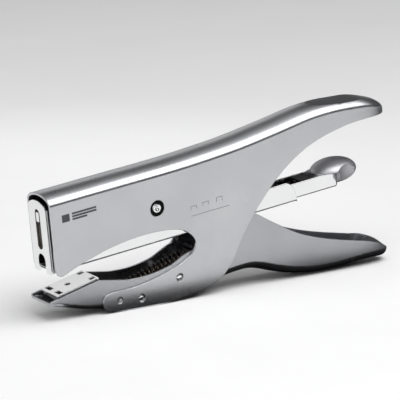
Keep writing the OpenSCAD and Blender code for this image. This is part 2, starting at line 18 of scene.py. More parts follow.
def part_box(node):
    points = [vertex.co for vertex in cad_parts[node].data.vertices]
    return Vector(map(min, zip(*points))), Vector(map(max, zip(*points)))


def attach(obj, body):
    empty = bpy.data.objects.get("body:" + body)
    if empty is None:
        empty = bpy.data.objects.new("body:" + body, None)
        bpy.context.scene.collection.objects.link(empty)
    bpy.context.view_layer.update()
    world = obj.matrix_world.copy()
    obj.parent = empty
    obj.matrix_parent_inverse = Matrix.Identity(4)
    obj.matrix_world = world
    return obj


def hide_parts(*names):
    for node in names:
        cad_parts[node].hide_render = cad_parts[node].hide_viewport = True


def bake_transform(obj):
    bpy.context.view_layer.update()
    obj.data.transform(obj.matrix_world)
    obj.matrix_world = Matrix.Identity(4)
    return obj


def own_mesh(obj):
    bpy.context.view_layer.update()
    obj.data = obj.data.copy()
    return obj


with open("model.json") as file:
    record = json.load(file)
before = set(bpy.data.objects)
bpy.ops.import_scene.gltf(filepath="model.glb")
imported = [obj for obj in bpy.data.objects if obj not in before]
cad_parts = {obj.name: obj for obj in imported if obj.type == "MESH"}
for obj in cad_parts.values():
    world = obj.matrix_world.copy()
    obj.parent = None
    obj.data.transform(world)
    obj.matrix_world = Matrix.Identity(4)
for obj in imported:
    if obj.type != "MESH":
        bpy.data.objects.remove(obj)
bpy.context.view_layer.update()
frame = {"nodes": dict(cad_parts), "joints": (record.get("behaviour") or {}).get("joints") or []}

# %% [markdown]
# ## The head's own axes
# The tool stands a little nose-down, so nothing on it is parallel to the floor. Drawing every piece
# in tilted coordinates would be tiresome. Instead the joints tell where the head's axes lie: the
# rail pulls out along the head, and the driver drops square to it. Each piece is drawn in
# millimetres in that frame, and one matrix sets it in place. The finished object stays at the
# origin, with its place in its mesh.

# %% The head's axes and the nested widths
joints = {joint["name"]: joint for joint in frame["joints"]}
MM = 0.001
PIVOT = Vector(joints["handle_squeeze"]["pos_m"])
ALONG = Vector(joints["rail_pull"]["axis"]).normalized()
ACROSS = Vector((0, 1, 0))
UP = -Vector(joints["driver_drop"]["axis"]).normalized()
HEAD = Matrix.Translation(PIVOT) @ Matrix((ALONG, ACROSS, UP)).transposed().to_4x4() @ Matrix.Scale(MM, 4)
HEAD_BACK = HEAD.inverted()


def half_width(node):
    """Half the width of a CAD node across the tool, in millimetres."""
    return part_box(node)[1].y / MM


SHELL_OUT = half_width("body_shell")
SHELL_WALL = 1.2
LEVER_OUT = half_width("lower_handle")
LEVER_WALL = 0.9
JAW_OUT = half_width("lower_jaw")
JAW_WALL = 1.1
CHANNEL_OUT = half_width("magazine_channel")
RAIL_OUT = half_width("core_rail")
CHANNEL_WALL = 0.7
PLATE_HALF = half_width("front_plate")
ANVIL_HALF = half_width("anvil_plate")
PIN_R = 1.5
print("half widths:", [round(w, 2) for w in (SHELL_OUT, LEVER_OUT, JAW_OUT, CHANNEL_OUT, RAIL_OUT)])

# %% [markdown]
# ## Curves from a few points
# A press tool is drawn with a few points and a smooth curve through them, so the outlines here are
# short lists too. `height` reads a curve as a height over x, for profiles that never turn back.
# `smooth` follows a free outline, such as the throat, which does. `nose` closes a width to a
# rounded end, as a superellipse does.


# %% Curve helpers
CURVE_STEPS = 6


def slope(points, i):
    a, b = points[max(i - 1, 0)], points[min(i + 1, len(points) - 1)]
    return (b[1] - a[1]) / (b[0] - a[0])


def height(points, x):
    """Height at x of a cubic curve through points in order of x."""
    i = 0
    while i < len(points) - 2 and x >= points[i + 1][0]:
        i += 1
    (x0, z0), (x1, z1) = points[i], points[i + 1]
    h = x1 - x0
    t = (x - x0) / h
    ease = t * t * (3 - 2 * t)
    turn = slope(points, i) * (t - 1) ** 2 + slope(points, i + 1) * t * (t - 1)
    return z0 * (1 - ease) + z1 * ease + h * t * turn


def smooth(points, steps=CURVE_STEPS):
    """Smooth curve through the points of an outline, open at both ends."""
    out = []
    last = len(points) - 1
    for i in range(last):
        a, b, c, d = (points[min(max(i + k, 0), last)] for k in (-1, 0, 1, 2))
        for s in range(steps):
            t = s / steps
            out.append(tuple(0.5 * (2 * q + (r - p) * t + (2 * p - 5 * q + 4 * r - w) * t ** 2
                                    + (3 * q - p - 3 * r + w) * t ** 3)
                             for p, q, r, w in zip(a, b, c, d)))
    return out + [tuple(points[-1])]


def nose(x, root, tip, half, sharpness=3):
    """Half width of a rounded nose that is full at root and closed at tip."""
    if x <= root:
        return half
    t = min((x - root) / (tip - root), 1)
    return half * max(1 - t ** sharpness, 0) ** (1 / sharpness)


def steps_between(a, b, count):
    """Even stations from a on, up to but without b."""
    return [a + (b - a) * i / count for i in range(count)]


def rounded_steps(root, tip, count, sharpness=3):
    """Stations that crowd towards the tip, where the outline turns."""
    return [root + (tip - root) * math.sin(math.pi / 2 * i / count) ** (2 / sharpness)
            for i in range(count + 1)]


arch = [(0, 0), (1, 1), (2, 0)]
print("a curve through", arch, "is", round(height(arch, 0.5), 3), "high at 0.5")


# %% [markdown]
# ## From points to a finished piece
# Every piece goes through the same bench: a mesh in millimetres, a few modifiers (a wall, a drilled
# hole, a broken edge), then one evaluation that turns the result into a plain mesh and sets it in
# place. The last modifier weights the normals by face area, so flat sheet stays flat in the
# highlights and only the rolled edges catch the light.


# %% Mesh helpers
MERGE = 0.0005
SLIVER = 0.0004


def new_object(name, mesh):
    piece = bpy.data.objects.new(name, mesh)
    bpy.context.scene.collection.objects.link(piece)
    return piece


def as_mesh(name, shape):
    """Writes a bmesh out as a new mesh and frees it."""
    mesh = bpy.data.meshes.new(name)
    shape.to_mesh(mesh)
    shape.free()
    return mesh


def plain_mesh(piece):
    """The piece as its modifiers make it, as a mesh of its own."""
    graph = bpy.context.evaluated_depsgraph_get()
    return bpy.data.meshes.new_from_object(piece.evaluated_get(graph), preserve_all_data_layers=True,
                                           depsgraph=graph)


def clad(mesh, material):
    """Gives the whole mesh one material."""
    mesh.materials.clear()
    mesh.materials.append(material)


def mesh_from(name, vertices, faces):
    """A mesh with its doubles merged. The faces already point outwards."""
    mesh = bpy.data.meshes.new(name)
    mesh.from_pydata(vertices, [], faces)
    shape = bmesh.new()
    shape.from_mesh(mesh)
    bmesh.ops.remove_doubles(shape, verts=shape.verts, dist=MERGE)
    bmesh.ops.dissolve_degenerate(shape, edges=shape.edges, dist=SLIVER)
    shape.to_mesh(mesh)
    shape.free()
    return mesh


def outward(mesh):
    """Recalculates the normals of a closed mesh."""
    shape = bmesh.new()
    shape.from_mesh(mesh)
    bmesh.ops.recalc_face_normals(shape, faces=shape.faces)
    shape.to_mesh(mesh)
    shape.free()
    return mesh


def loft(name, rows, ring=True, caps=True):
    """Skin over rows of points. A ring closes each row on itself; caps close the two ends."""
    n = len(rows[0])
    vertices = [point for row in rows for point in row]
    faces = []
    for i in range(len(rows) - 1):
        for j in range(n if ring else n - 1):
            a, b = i * n + j, i * n + (j + 1) % n
            faces.append((a, b, b + n, a + n))
    if caps:
        faces.append(tuple(range(n - 1, -1, -1)))
        faces.append(tuple((len(rows) - 1) * n + j for j in range(n)))
    return mesh_from(name, vertices, faces)


def joined(name, meshes):
    """Several meshes as one, each still an island of its own."""
    shape = bmesh.new()
    for mesh in meshes:
        shape.from_mesh(mesh)
        bpy.data.meshes.remove(mesh)
    return as_mesh(name, shape)


def cylinder(name, radius, length, at, axis="Y", segments=64):
    """A plain bar, for cutting holes or as the start of a pin."""
    shape = bmesh.new()
    bmesh.ops.create_cone(shape, cap_ends=True, segments=segments, radius1=radius, radius2=radius,
                          depth=length)
    turn = {"X": Matrix.Rotation(math.pi / 2, 4, "Y"), "Y": Matrix.Rotation(math.pi / 2, 4, "X"),
            "Z": Matrix.Identity(4)}[axis]
    bmesh.ops.transform(shape, verts=shape.verts, matrix=Matrix.Translation(at) @ turn)
    return as_mesh(name, shape)


def block(name, low, high):
    """A box between two corners."""
    shape = bmesh.new()
    bmesh.ops.create_cube(shape, size=1)
    size = [b - a for a, b in zip(low, high)]
    middle = [(a + b) / 2 for a, b in zip(low, high)]
    place = Matrix.Translation(middle) @ Matrix.Diagonal((*size, 1))
    bmesh.ops.transform(shape, verts=shape.verts, matrix=place)
    return as_mesh(name, shape)


def ball(name, radius, place):
    """A dense ball, set in place and stretched by a matrix."""
    shape = bmesh.new()
    bmesh.ops.create_uvsphere(shape, u_segments=96, v_segments=64, radius=radius)
    bmesh.ops.transform(shape, verts=shape.verts, matrix=place)
    return as_mesh(name, shape)


def lathe(name, profile, at, axis, segments=64):
    """Turned piece: profile is [(radius, distance along the axis)], closed on the axis at both ends."""
    side = axis.orthogonal().normalized()
    other = axis.cross(side)
    rows = []
    for k in range(segments):
        a = 2 * math.pi * k / segments
        out = side * math.cos(a) + other * math.sin(a)
        rows.append([tuple(Vector(at) + out * r + axis * d) for r, d in profile])
    vertices = [point for row in rows for point in row]
    n = len(profile)
    faces = []
    for k in range(segments):
        for j in range(n - 1):
            a, b = k * n + j, ((k + 1) % segments) * n + j
            faces.append((a, b, b + 1, a + 1))
    return outward(mesh_from(name, vertices, faces))


def cut(piece, tool_mesh, operation="DIFFERENCE"):
    """Takes a mesh away from the piece, or with UNION adds it."""
    tool = new_object(piece.name + "_tool", tool_mesh)
    tool.hide_render = True
    boolean = piece.modifiers.new("cut", "BOOLEAN")
    boolean.operation = operation
    boolean.solver = "EXACT"
    boolean.object = tool


def keep_flats_flat(piece):
    """Weights the normals by face area, so that only the edges look round."""
    weight = piece.modifiers.new("flats", "WEIGHTED_NORMAL")
    weight.keep_sharp = False
    weight.weight = 80


def break_edges(piece, width, segments=3, angle=38):
    """Rounds every edge that is sharper than the angle, in degrees."""
    bevel = piece.modifiers.new("edges", "BEVEL")
    bevel.width = width
    bevel.segments = segments
    bevel.limit_method = "ANGLE"
    bevel.angle_limit = math.radians(angle)
    bevel.use_clamp_overlap = False
    keep_flats_flat(piece)


def finished(piece, body, replaced, material, place=HEAD, stretched_to=None):
    """Applies the modifiers, sets the piece in place, gives it its material, hangs it on its body and hides the
    frame's parts that it replaces.

    stretched_to is (body, start, end) for a piece whose far end is held by another body: if it is given, the
    piece hangs on no body and keeps its place in its mesh. The values in it are not used."""
    for polygon in piece.data.polygons:
        polygon.use_smooth = True
    mesh = plain_mesh(piece)
    tools = [modifier.object for modifier in piece.modifiers if modifier.type == "BOOLEAN"]
    piece.modifiers.clear()
    for tool in tools:
        bpy.data.objects.remove(tool)
    piece.data = mesh
    mesh.transform(place)
    mesh.update()
    clad(mesh, material)
    for polygon in mesh.polygons:
        polygon.material_index = 0
        polygon.use_smooth = True
    if stretched_to:
        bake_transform(piece)
    else:
        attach(piece, body)
    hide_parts(*replaced)
    print(piece.name, len(mesh.polygons), "faces")
    return piece


# %% [markdown]
# ## Metals
# All the big pressings are nickel plated and satin finished: fine grit leaves scratches some
# hundredths of a millimetre apart, far too fine to draw one by one, so they are drawn as coarse as
# they need to be to soften the reflections. The magazine, rail, anvil and front plate are bright
# plated and polished, which mirrors the room. A metal's look is its reflection, so every recipe
# below is a metallic surface whose roughness changes a little from place to place, as fingers and
# polishing wheels leave it.


# %% Node helpers
def linear(hex_colour):
    """An sRGB hex colour as the linear values that shaders use."""
    parts = [int(hex_colour[i:i + 2], 16) / 255 for i in (1, 3, 5)]
    return (*[p / 12.92 if p <= 0.04045 else ((p + 0.055) / 1.055) ** 2.4 for p in parts], 1)


def add(tree, kind, inputs=None, **settings):
    """Adds a node, with its settings and its inputs: values, or sockets to link from."""
    made = tree.nodes.new(kind)
    for name, value in settings.items():
        setattr(made, name, value)
    for name, value in (inputs or {}).items():
        if isinstance(value, bpy.types.NodeSocket):
            tree.links.new(value, made.inputs[name])
        else:
            made.inputs[name].default_value = value
    return made


def base_material(name):
    """A new material with its shader and output only."""
    made = bpy.data.materials.new(name)
    made.use_nodes = True
    tree = made.node_tree
    tree.nodes.clear()
    shader = tree.nodes.new("ShaderNodeBsdfPrincipled")
    add(tree, "ShaderNodeOutputMaterial", {"Surface": shader.outputs["BSDF"]})
    return made, tree, shader


def object_millimetres(tree):
    """Object coordinates in millimetres, so that each pattern's scale is one over its real size."""
    where = add(tree, "ShaderNodeTexCoord")
    return add(tree, "ShaderNodeVectorMath", {0: where.outputs["Object"], "Scale": 1 / MM},
               operation="SCALE").outputs["Vector"]


print("mid grey in linear light:", round(linear("#808080")[0], 3))

# %% [markdown]
# ## A recipe for metal
# A real plated sheet is never evenly bright: patches a few centimetres wide were polished a little
# longer, and the grit leaves a grain. An image of scratches would be the usual way, but two noises
# need no image and scale with the object. The wide noise drifts the colour, and both together set
# the roughness. The grain is also a faint bump, a few thousandths of a millimetre deep.

# %% The metal recipe
NOISE_LOW, NOISE_HIGH = 0.12, 0.4
GRAIN_STRENGTH = 0.25


def metal(name, light, dark, rough_low, rough_high, patch_mm, grain_mm, grain_depth):
    """A plated metal: colour and roughness drift over patches, and a fine grain breaks the mirror."""
    made, tree, shader = base_material(name)
    at = object_millimetres(tree)
    patch = add(tree, "ShaderNodeTexNoise", {"Vector": at, "Scale": 1 / patch_mm, "Detail": 3.0})
    grain = add(tree, "ShaderNodeTexNoise", {"Vector": at, "Scale": 1 / grain_mm, "Detail": 2.0})
    tint = add(tree, "ShaderNodeMix", {"Factor": patch.outputs["Fac"], "A": linear(light), "B": linear(dark)},
               data_type="RGBA")
    spread = add(tree, "ShaderNodeMath", {0: patch.outputs["Fac"], 1: grain.outputs["Fac"]},
                 operation="MULTIPLY")
    rough = add(tree, "ShaderNodeMapRange",
                {"Value": spread.outputs[0], "From Min": NOISE_LOW, "From Max": NOISE_HIGH,
                 "To Min": rough_low, "To Max": rough_high})
    bump = add(tree, "ShaderNodeBump", {"Height": grain.outputs["Fac"], "Strength": GRAIN_STRENGTH,
                                        "Distance": grain_depth * MM})
    shader.inputs["Metallic"].default_value = 1
    tree.links.new(tint.outputs[2], shader.inputs["Base Color"])
    tree.links.new(rough.outputs[0], shader.inputs["Roughness"])
    tree.links.new(bump.outputs[0], shader.inputs["Normal"])
    return made


print("metal recipe ready, grain strength", GRAIN_STRENGTH)

# %% [markdown]
# ## Printing on the shell
# The shell carries a little printing: three outline staples over a ruled line, and a plain block
# with three bars near the front. It could be a decal on a sheet of its own, but a print has no
# thickness worth modelling. It is a thin dull ink, so where it lies the metal stops being metallic.
# It is drawn as rectangles in the head's own millimetres, and a Mapping node turns the object's
# coordinates into those.

# %% Printed marks
SIGN_W, SIGN_LINE = 3.4, 0.32
BAR_FROM, BAR_TALL = -44.2, 0.9


def staple_sign(x, z, leg):
    """Rectangles of an outline staple, as (x0, x1, z0, z1)."""
    return [(x, x + SIGN_W, z - SIGN_LINE, z), (x, x + SIGN_LINE, z - leg, z),
            (x + SIGN_W - SIGN_LINE, x + SIGN_W, z - leg, z)]


GREY_PRINT = (staple_sign(17.5, -3.6, 1.7) + staple_sign(24.0, -3.2, 1.7) + staple_sign(31.5, -2.8, 2.3)
              + [(17.5, 38.5, -8.4, -8.1)])
DARK_PRINT = [(-49.5, -45.5, 5.9, 9.4)] + [(BAR_FROM, end, low, low + BAR_TALL)
                                           for end, low in ((-31.5, 8.5), (-31.5, 7.2), (-36.5, 5.9))]
print("printed rectangles:", len(GREY_PRINT), "grey,", len(DARK_PRINT), "dark")


# %% Ink where the marks are
INK_ROUGHNESS, INK_METALLIC = 0.55, 0.25
INK_REACH = 0.1


def inside_box(tree, axes, box):
    """1 inside a rectangle of the head's side view, 0 outside."""
    x0, x1, z0, z1 = box
    edges = [(axes.outputs["X"], x0, x1), (axes.outputs["Z"], z0, z1)]
    parts = []
    for value, low, high in edges:
        away = add(tree, "ShaderNodeMath", {0: value, 1: (low + high) / 2}, operation="SUBTRACT")
        size = add(tree, "ShaderNodeMath", {0: away.outputs[0]}, operation="ABSOLUTE")
        parts.append(add(tree, "ShaderNodeMath", {0: size.outputs[0], 1: (high - low) / 2},
                         operation="LESS_THAN").outputs[0])
    return add(tree, "ShaderNodeMath", {0: parts[0], 1: parts[1]}, operation="MULTIPLY").outputs[0]


def any_box(tree, axes, boxes):
    """1 inside any of the rectangles."""
    total = inside_box(tree, axes, boxes[0])
    for box in boxes[1:]:
        total = add(tree, "ShaderNodeMath", {0: total, 1: inside_box(tree, axes, box)},
                    operation="MAXIMUM").outputs[0]
    return total


def print_on(made, boxes, ink):
    """Lays a dull ink over a metal inside the boxes, on the near side of the shell only."""
    tree = made.node_tree
    shader = next(n for n in tree.nodes if n.type == "BSDF_PRINCIPLED")
    where = add(tree, "ShaderNodeTexCoord")
    turn = add(tree, "ShaderNodeMapping",
               {"Vector": where.outputs["Object"], "Location": HEAD_BACK.translation,
                "Rotation": HEAD_BACK.to_euler(), "Scale": HEAD_BACK.to_scale()})
    axes = add(tree, "ShaderNodeSeparateXYZ", {"Vector": turn.outputs[0]})
    near = add(tree, "ShaderNodeMath", {0: axes.outputs["Y"], 1: -SHELL_OUT + INK_REACH}, operation="LESS_THAN")
    mask = add(tree, "ShaderNodeMath", {0: any_box(tree, axes, boxes), 1: near.outputs[0]},
               operation="MULTIPLY")
    for name, value in (("Base Color", linear(ink)), ("Roughness", INK_ROUGHNESS),
                        ("Metallic", INK_METALLIC)):
        socket = shader.inputs[name]
        kind, node_kind = ("RGBA", "RGBA") if name == "Base Color" else ("VALUE", "FLOAT")
        before = socket.links[0].from_socket if socket.links else socket.default_value
        mixed = add(tree, "ShaderNodeMix", {"Factor": mask.outputs[0]}, data_type=node_kind)
        slots = [s for s in mixed.inputs if s.name in ("A", "B") and s.type == kind]
        if isinstance(before, bpy.types.NodeSocket):
            tree.links.new(before, slots[0])
        else:
            slots[0].default_value = before
        slots[1].default_value = value
        result = next(s for s in mixed.outputs if s.type == kind)
        tree.links.new(result, socket)


# %% [markdown]
# ## The finishes
# The real grit is some hundredths of a millimetre, too fine to show, so every grain below is drawn
# ten times as coarse. The numbers are the light and dark tone, the lowest and highest roughness,
# the patch and the grain in millimetres, and the depth of the grain.

# %% The metals themselves
# Nickel plate over brushed steel sheet: even and silky, it holds a soft image of the room.
SATIN_NICKEL = metal("satin_nickel_plate", "#B9BABD", "#ADAEB2", 0.25, 0.34, 30, 0.35, 0.01)
PRINTED_NICKEL = metal("satin_nickel_plate_printed", "#C9CACC", "#BEBFC2", 0.25, 0.34, 30, 0.35, 0.01)
print_on(PRINTED_NICKEL, GREY_PRINT, "#85868A")
print_on(PRINTED_NICKEL, DARK_PRINT, "#4B4C51")
# Bright nickel over polished strip: nearly a mirror, white or black by what stands opposite.
BRIGHT_NICKEL = metal("bright_nickel_plate", "#F1F1F0", "#E6E7E8", 0.06, 0.13, 18, 0.6, 0.004)
# Zinc casting, blasted and plated: the blasting spreads the highlight into a broad sheen.
CAST_SATIN = metal("satin_plated_zinc", "#C0C0C3", "#B5B5B9", 0.44, 0.56, 12, 0.4, 0.012)
# Hard-drawn wire, blued by heat and oiled: a dark, warm glint on each turn.
SPRING_WIRE = metal("blued_spring_wire", "#544C45", "#443E39", 0.28, 0.42, 4, 0.3, 0.01)
# Hot-dipped wire, flattened: pale with a cloudy shine.
ZINC_WIRE = metal("galvanised_staple_wire", "#B9BBBC", "#A9ABAD", 0.24, 0.38, 3, 0.25, 0.01)
# Bare steel from the lathe: mid grey and a little dull.
DULL_STEEL = metal("turned_steel", "#6E6E70", "#5F5F62", 0.3, 0.45, 5, 0.3, 0.01)
# Steel blackened in a hot bath: a black that still catches a thin highlight.
BLACKENED = metal("blackened_steel", "#1A1A1B", "#101011", 0.3, 0.45, 4, 0.3, 0.01)
print("metals:", len(bpy.data.materials))


# %% The one plastic
BLOOM_MM = 2.5


def acetal(name):
    """Moulded black acetal: a dense plastic with a faint bloom from the mould."""
    made, tree, shader = base_material(name)
    at = object_millimetres(tree)
    bloom = add(tree, "ShaderNodeTexNoise", {"Vector": at, "Scale": 1 / BLOOM_MM, "Detail": 4.0})
    rough = add(tree, "ShaderNodeMapRange", {"Value": bloom.outputs["Fac"], "To Min": 0.38, "To Max": 0.55})
    tint = add(tree, "ShaderNodeMix", {"Factor": bloom.outputs["Fac"], "A": linear("#141415"),
                                       "B": linear("#1E1E20")}, data_type="RGBA")
    tree.links.new(tint.outputs[2], shader.inputs["Base Color"])
    tree.links.new(rough.outputs[0], shader.inputs["Roughness"])
    return made


BLACK_ACETAL = acetal("moulded_acetal")
print(BLACK_ACETAL.name, "bloom", BLOOM_MM, "mm")

# %% [markdown]
# ## The shell
# One sheet, 1.2 mm thick, is folded over a former into an arch and then drawn to a closed nose at the
# handle's end. In the computer it helps to work as the press does: first the outer skin with no
# thickness, then the wall inwards, then the drilled holes, and last the broken edges. The flat
# sides are single faces cut to the outline of the throat, and the crown and nose are a grid of
# rows, so the light runs along them without a ripple. A shallow lens is pressed into the crown
# where the ball of the thumb rests.

# %% Outlines of the shell
SIDE_LINE = [(-55, 14.2), (-20, 14.2), (8, 14.2), (24.5, 14.6), (46.7, 15.8), (69, 18.2), (86, 20.3),
             (98, 20.7), (109.5, 20.1), (121, 18.7), (128, 16.6), (132.6, 15)]
NOSE_RIDGE = [(105, 0), (112, 0), (117, -0.1), (122.8, -0.8), (128.4, -1.5), (131.5, -2.6), (132.6, -3.6)]
HANDLE_UNDER = [(67.5, -1), (79.5, 6.3), (91, 10.5), (103, 12.8), (112, 13.7), (118, 13.7), (124, 13.5),
                (128, 13.3), (132.6, 13.2)]
BACK_EDGE = [(91, 10.5), (79.5, 6.3), (67.5, -1), (55, -12.3), (45.5, -23.5), (39, -33.5), (34, -39.2),
             (29, -42.2), (22, -44.1), (12, -45.2), (0, -45.3), (-13, -44.1), (-22, -42.8), (-29, -41.5),
             (-31.7, -40.2), (-32.9, -38), (-32.6, -35.3), (-31, -33.4), (-28, -32.7)]
THROAT = [(-28, -32.7), (-21, -33.1), (-13, -33.1), (-2, -31.9), (8, -29.5), (14, -27), (17.6, -24.2),
          (18.7, -21.2), (17.3, -17.8), (13, -14), (6, -11.7), (-5, -10.6), (-16, -10.8), (-27, -12),
          (-37.5, -14.2), (-46, -16.5), (-50.3, -17.9), (-52.6, -18.3), (-54.4, -17.2), (-55, -15)]
HEAD_FRONT = -55
SHELL_TIP = 132.6
NOSE_ROOT = 109
NOSE_CLOSED = 132.45
HANDLE_START = 79.5
CROWN_RISE, CROWN_LEAST = 4.8, 0.4
CROWN_STEPS = 40
SIDE_STEPS, SIDE_LEAST = 7, 0.05
FOLD = 0.5
LENS, LENS_CROWN = (92, 128, 1.6), 0.12
print("the shell's side has", len(BACK_EDGE) + len(THROAT), "points behind and in the throat")


# %% Sections of the shell
def ridge(x):
    """Height of the crown's ridge."""
    drop = height(NOSE_RIDGE, x) if x > NOSE_RIDGE[0][0] else 0
    return height(SIDE_LINE, x) + max(CROWN_RISE + drop, CROWN_LEAST)


def lens_top(x):
    """Height of the pressed lens on the crown, or None where there is none."""
    start, end, depth = LENS
    if not start < x < end:
        return None
    return ridge(x) - depth * math.sin(math.pi * (x - start) / (end - start))


def crown_row(x):
    """The arch at x, from the near side to the far side."""
    half = nose(x, NOSE_ROOT, SHELL_TIP, SHELL_OUT)
    edge, top, lens = height(SIDE_LINE, x), ridge(x), lens_top(x)
    row = []
    for k in range(CROWN_STEPS + 1):
        a = math.pi * k / CROWN_STEPS
        z = edge + (top - edge) * math.sin(a)
        if lens is not None and z > lens:
            z = lens + LENS_CROWN * (z - lens)
        row.append((x, -half * math.cos(a), z))
    return row


def side_column(x, side):
    """The flat side at x on the handle, from its open edge up to the fold."""
    half = nose(x, NOSE_ROOT, SHELL_TIP, SHELL_OUT)
    low, high = height(HANDLE_UNDER, x), height(SIDE_LINE, x) - FOLD
    high = max(high, low + SIDE_LEAST)
    return [(x, side * half, low + (high - low) * k / SIDE_STEPS) for k in range(SIDE_STEPS + 1)]


print("ridge over the pivot:", round(ridge(0), 2), "mm")

# %% The shell's skin
head_stations = steps_between(HEAD_FRONT, 8, 9) + steps_between(8, HANDLE_START, 30)
handle_stations = steps_between(HANDLE_START, NOSE_ROOT, 40)
handle_stations += [x for x in rounded_steps(NOSE_ROOT, SHELL_TIP, 26) if x < NOSE_CLOSED - 0.05]
handle_stations.append(NOSE_CLOSED)


def shell_skin():
    """The outside of the shell, without thickness: crown, two sides and the closed nose."""
    shape = bmesh.new()

    def grid(rows, flip=False):
        made = [[shape.verts.new(p) for p in row] for row in rows]
        for a, b in zip(made, made[1:]):
            for j in range(len(a) - 1):
                quad = (a[j], a[j + 1], b[j + 1], b[j])
                shape.faces.new(quad[::-1] if flip else quad)

    grid([crown_row(x) for x in head_stations + handle_stations])
    back = smooth(BACK_EDGE)[CURVE_STEPS:]
    throat = smooth(THROAT)[1:]
    for side in (-1, 1):
        y = side * SHELL_OUT
        fold = [(x, y, height(SIDE_LINE, x) - FOLD) for x in head_stations + [HANDLE_START]]
        crown_edge = [(x, y, height(SIDE_LINE, x)) for x in head_stations + [HANDLE_START]]
        grid([fold, crown_edge], flip=side > 0)
        column = side_column(HANDLE_START, side)
        outline = fold[:-1] + column[::-1] + [(x, y, z) for x, z in back[1:] + throat]
        if side < 0:
            outline = outline[::-1]
        shape.faces.new([shape.verts.new(p) for p in outline])
        columns = [side_column(x, side)
                   + [(x, side * nose(x, NOSE_ROOT, SHELL_TIP, SHELL_OUT), height(SIDE_LINE, x))]
                   for x in handle_stations]
        grid(columns, flip=side < 0)
    near, far = (side_column(NOSE_CLOSED, side) for side in (-1, 1))
    shape.faces.new([shape.verts.new(p) for p in near + crown_row(NOSE_CLOSED) + far[::-1]])
    bmesh.ops.remove_doubles(shape, verts=shape.verts, dist=MERGE)
    bmesh.ops.dissolve_degenerate(shape, edges=shape.edges, dist=SLIVER)
    bmesh.ops.recalc_face_normals(shape, faces=shape.faces)
    highest = max(shape.faces, key=lambda f: f.calc_center_median().z)
    if highest.normal.z < 0:
        bmesh.ops.reverse_faces(shape, faces=shape.faces)
    return as_mesh("shell_pressing", shape)


skin = shell_skin()
print("skin:", len(skin.polygons), "faces")

# %% Wall, holes and broken edges
RIVETS = [(-12.6, -39.3), (8.5, -35.2)]
DIMPLE = (-24.1, -37.3)
COLLAR_R = 3.7
DIMPLE_DEPTH = 0.8
RIVET_R = 1.8
shell = new_object("shell_pressing", skin)
wall = shell.modifiers.new("wall", "SOLIDIFY")
wall.thickness = SHELL_WALL
wall.offset = -1
wall.use_even_offset = True
cut(shell, cylinder("pivot_hole", COLLAR_R, 3 * SHELL_OUT, (0, 0, 0)))
for x, z in RIVETS:
    cut(shell, cylinder("rivet_hole", RIVET_R, 3 * SHELL_OUT, (x, 0, z)))
for side in (-1, 1):
    cut(shell, cylinder("dimple", PIN_R, DIMPLE_DEPTH, (DIMPLE[0], side * SHELL_OUT, DIMPLE[1])))
break_edges(shell, 0.3)
finished(shell, "frame", ["body_shell"], PRINTED_NICKEL)

# %% [markdown]
# ## The lower handle
# The lever is drawn from thinner sheet into a long trough with a spoon-shaped end, and its two walls
# run forward as arms inside the head. A closed loop of points at each station draws both the
# outside and the hollow, so the wall is a real wall. Towards the tip the hollow's floor rises until
# the spoon is closed.

# %% Outlines of the lever
LEVER_UNDER = [(36, -43.5), (44, -43.3), (50, -43.8), (56, -45.7), (62, -48.3), (70, -51.4), (78, -53.7),
               (84.5, -55), (91, -55.9), (98, -56.4), (106, -56.6), (113, -56.8), (119, -57.2), (124, -57.8),
               (127.5, -58.1), (130, -57.4)]
LEVER_RIM = [(36, -6), (45, -11.6), (54, -17), (61, -22), (68, -26.8), (77, -32.4), (88, -37.3), (99.5, -41.4),
             (110, -44.6), (117, -46.8), (122, -49), (126, -51.4), (130, -54)]
ARM_TOP = [(-40, 9.4), (-8, 9.4), (8, 8.4), (20, 3.8), (30, -2.1), (36.2, -6.1)]
ARM_UNDER = [(36.2, -38.5), (30, -38.6), (25, -37), (21.5, -33.4), (20, -28), (19.9, -21), (17, -14.5), (12, -10),
             (4, -7.6), (-6, -6.4), (-30, -2.6)]
ARM_NOSE = [(-48, 0.4), (-52.4, 1.4), (-53, 3.5), (-53, 7.4), (-52.4, 8.8), (-51, 9.4)]
LEVER_START = 36
LEVER_TIP = 130
LEVER_ROUND = 5
LEVER_NOSE = 107
HOLLOW_ROOT, HOLLOW_END = 101, 116
HOLLOW_CORNER = 5
SPOON_RISE, SPOON_CORNER = 1.7, 2.5
SPOON_FROM, SPOON_RUN, SPOON_FALL = HOLLOW_END - 7, 9, 6
ROUND_STEPS = 28
WALL_STEPS = 3
print("lever from", LEVER_START, "to", LEVER_TIP, "mm behind the pin")


# %% Sections of the trough
def spoon(x, v):
    """Rise of the spoon's floor at x, at the share v of the half width."""
    swell = min(1, max(0, (x - SPOON_FROM) / SPOON_RUN)) * min(1, (LEVER_TIP - x) / SPOON_FALL)
    return SPOON_RISE * swell * (1 - abs(v) ** SPOON_CORNER)


def lever_loop(x):
    """One closed section: near side down, under, far side up, and back through the hollow."""
    half = max(nose(x, LEVER_NOSE, LEVER_TIP, LEVER_OUT), 0.25)
    low, rim = height(LEVER_UNDER, x), height(LEVER_RIM, x)
    edge = min(low + LEVER_ROUND, rim - 0.3)
    down = [rim + (edge - rim) * k / WALL_STEPS for k in range(WALL_STEPS)]
    loop = [(x, half, z) for z in down]
    for k in range(ROUND_STEPS + 1):
        a = math.pi * k / ROUND_STEPS
        loop.append((x, half * math.cos(a), edge + (low - edge) * math.sin(a)))
    loop += [(x, -half, z) for z in down[::-1]]
    inner = max(half - LEVER_WALL, 0.1)
    depth = rim - low - LEVER_WALL
    closing = max(0, (x - HOLLOW_ROOT) / (HOLLOW_END - HOLLOW_ROOT)) ** 2
    for k in range(ROUND_STEPS + 1):
        v = -math.cos(math.pi * k / ROUND_STEPS)
        left = max(1 - abs(v) ** HOLLOW_CORNER - closing, 0) ** (1 / HOLLOW_CORNER)
        loop.append((x, v * inner, rim - depth * left + spoon(x, v)))
    return loop


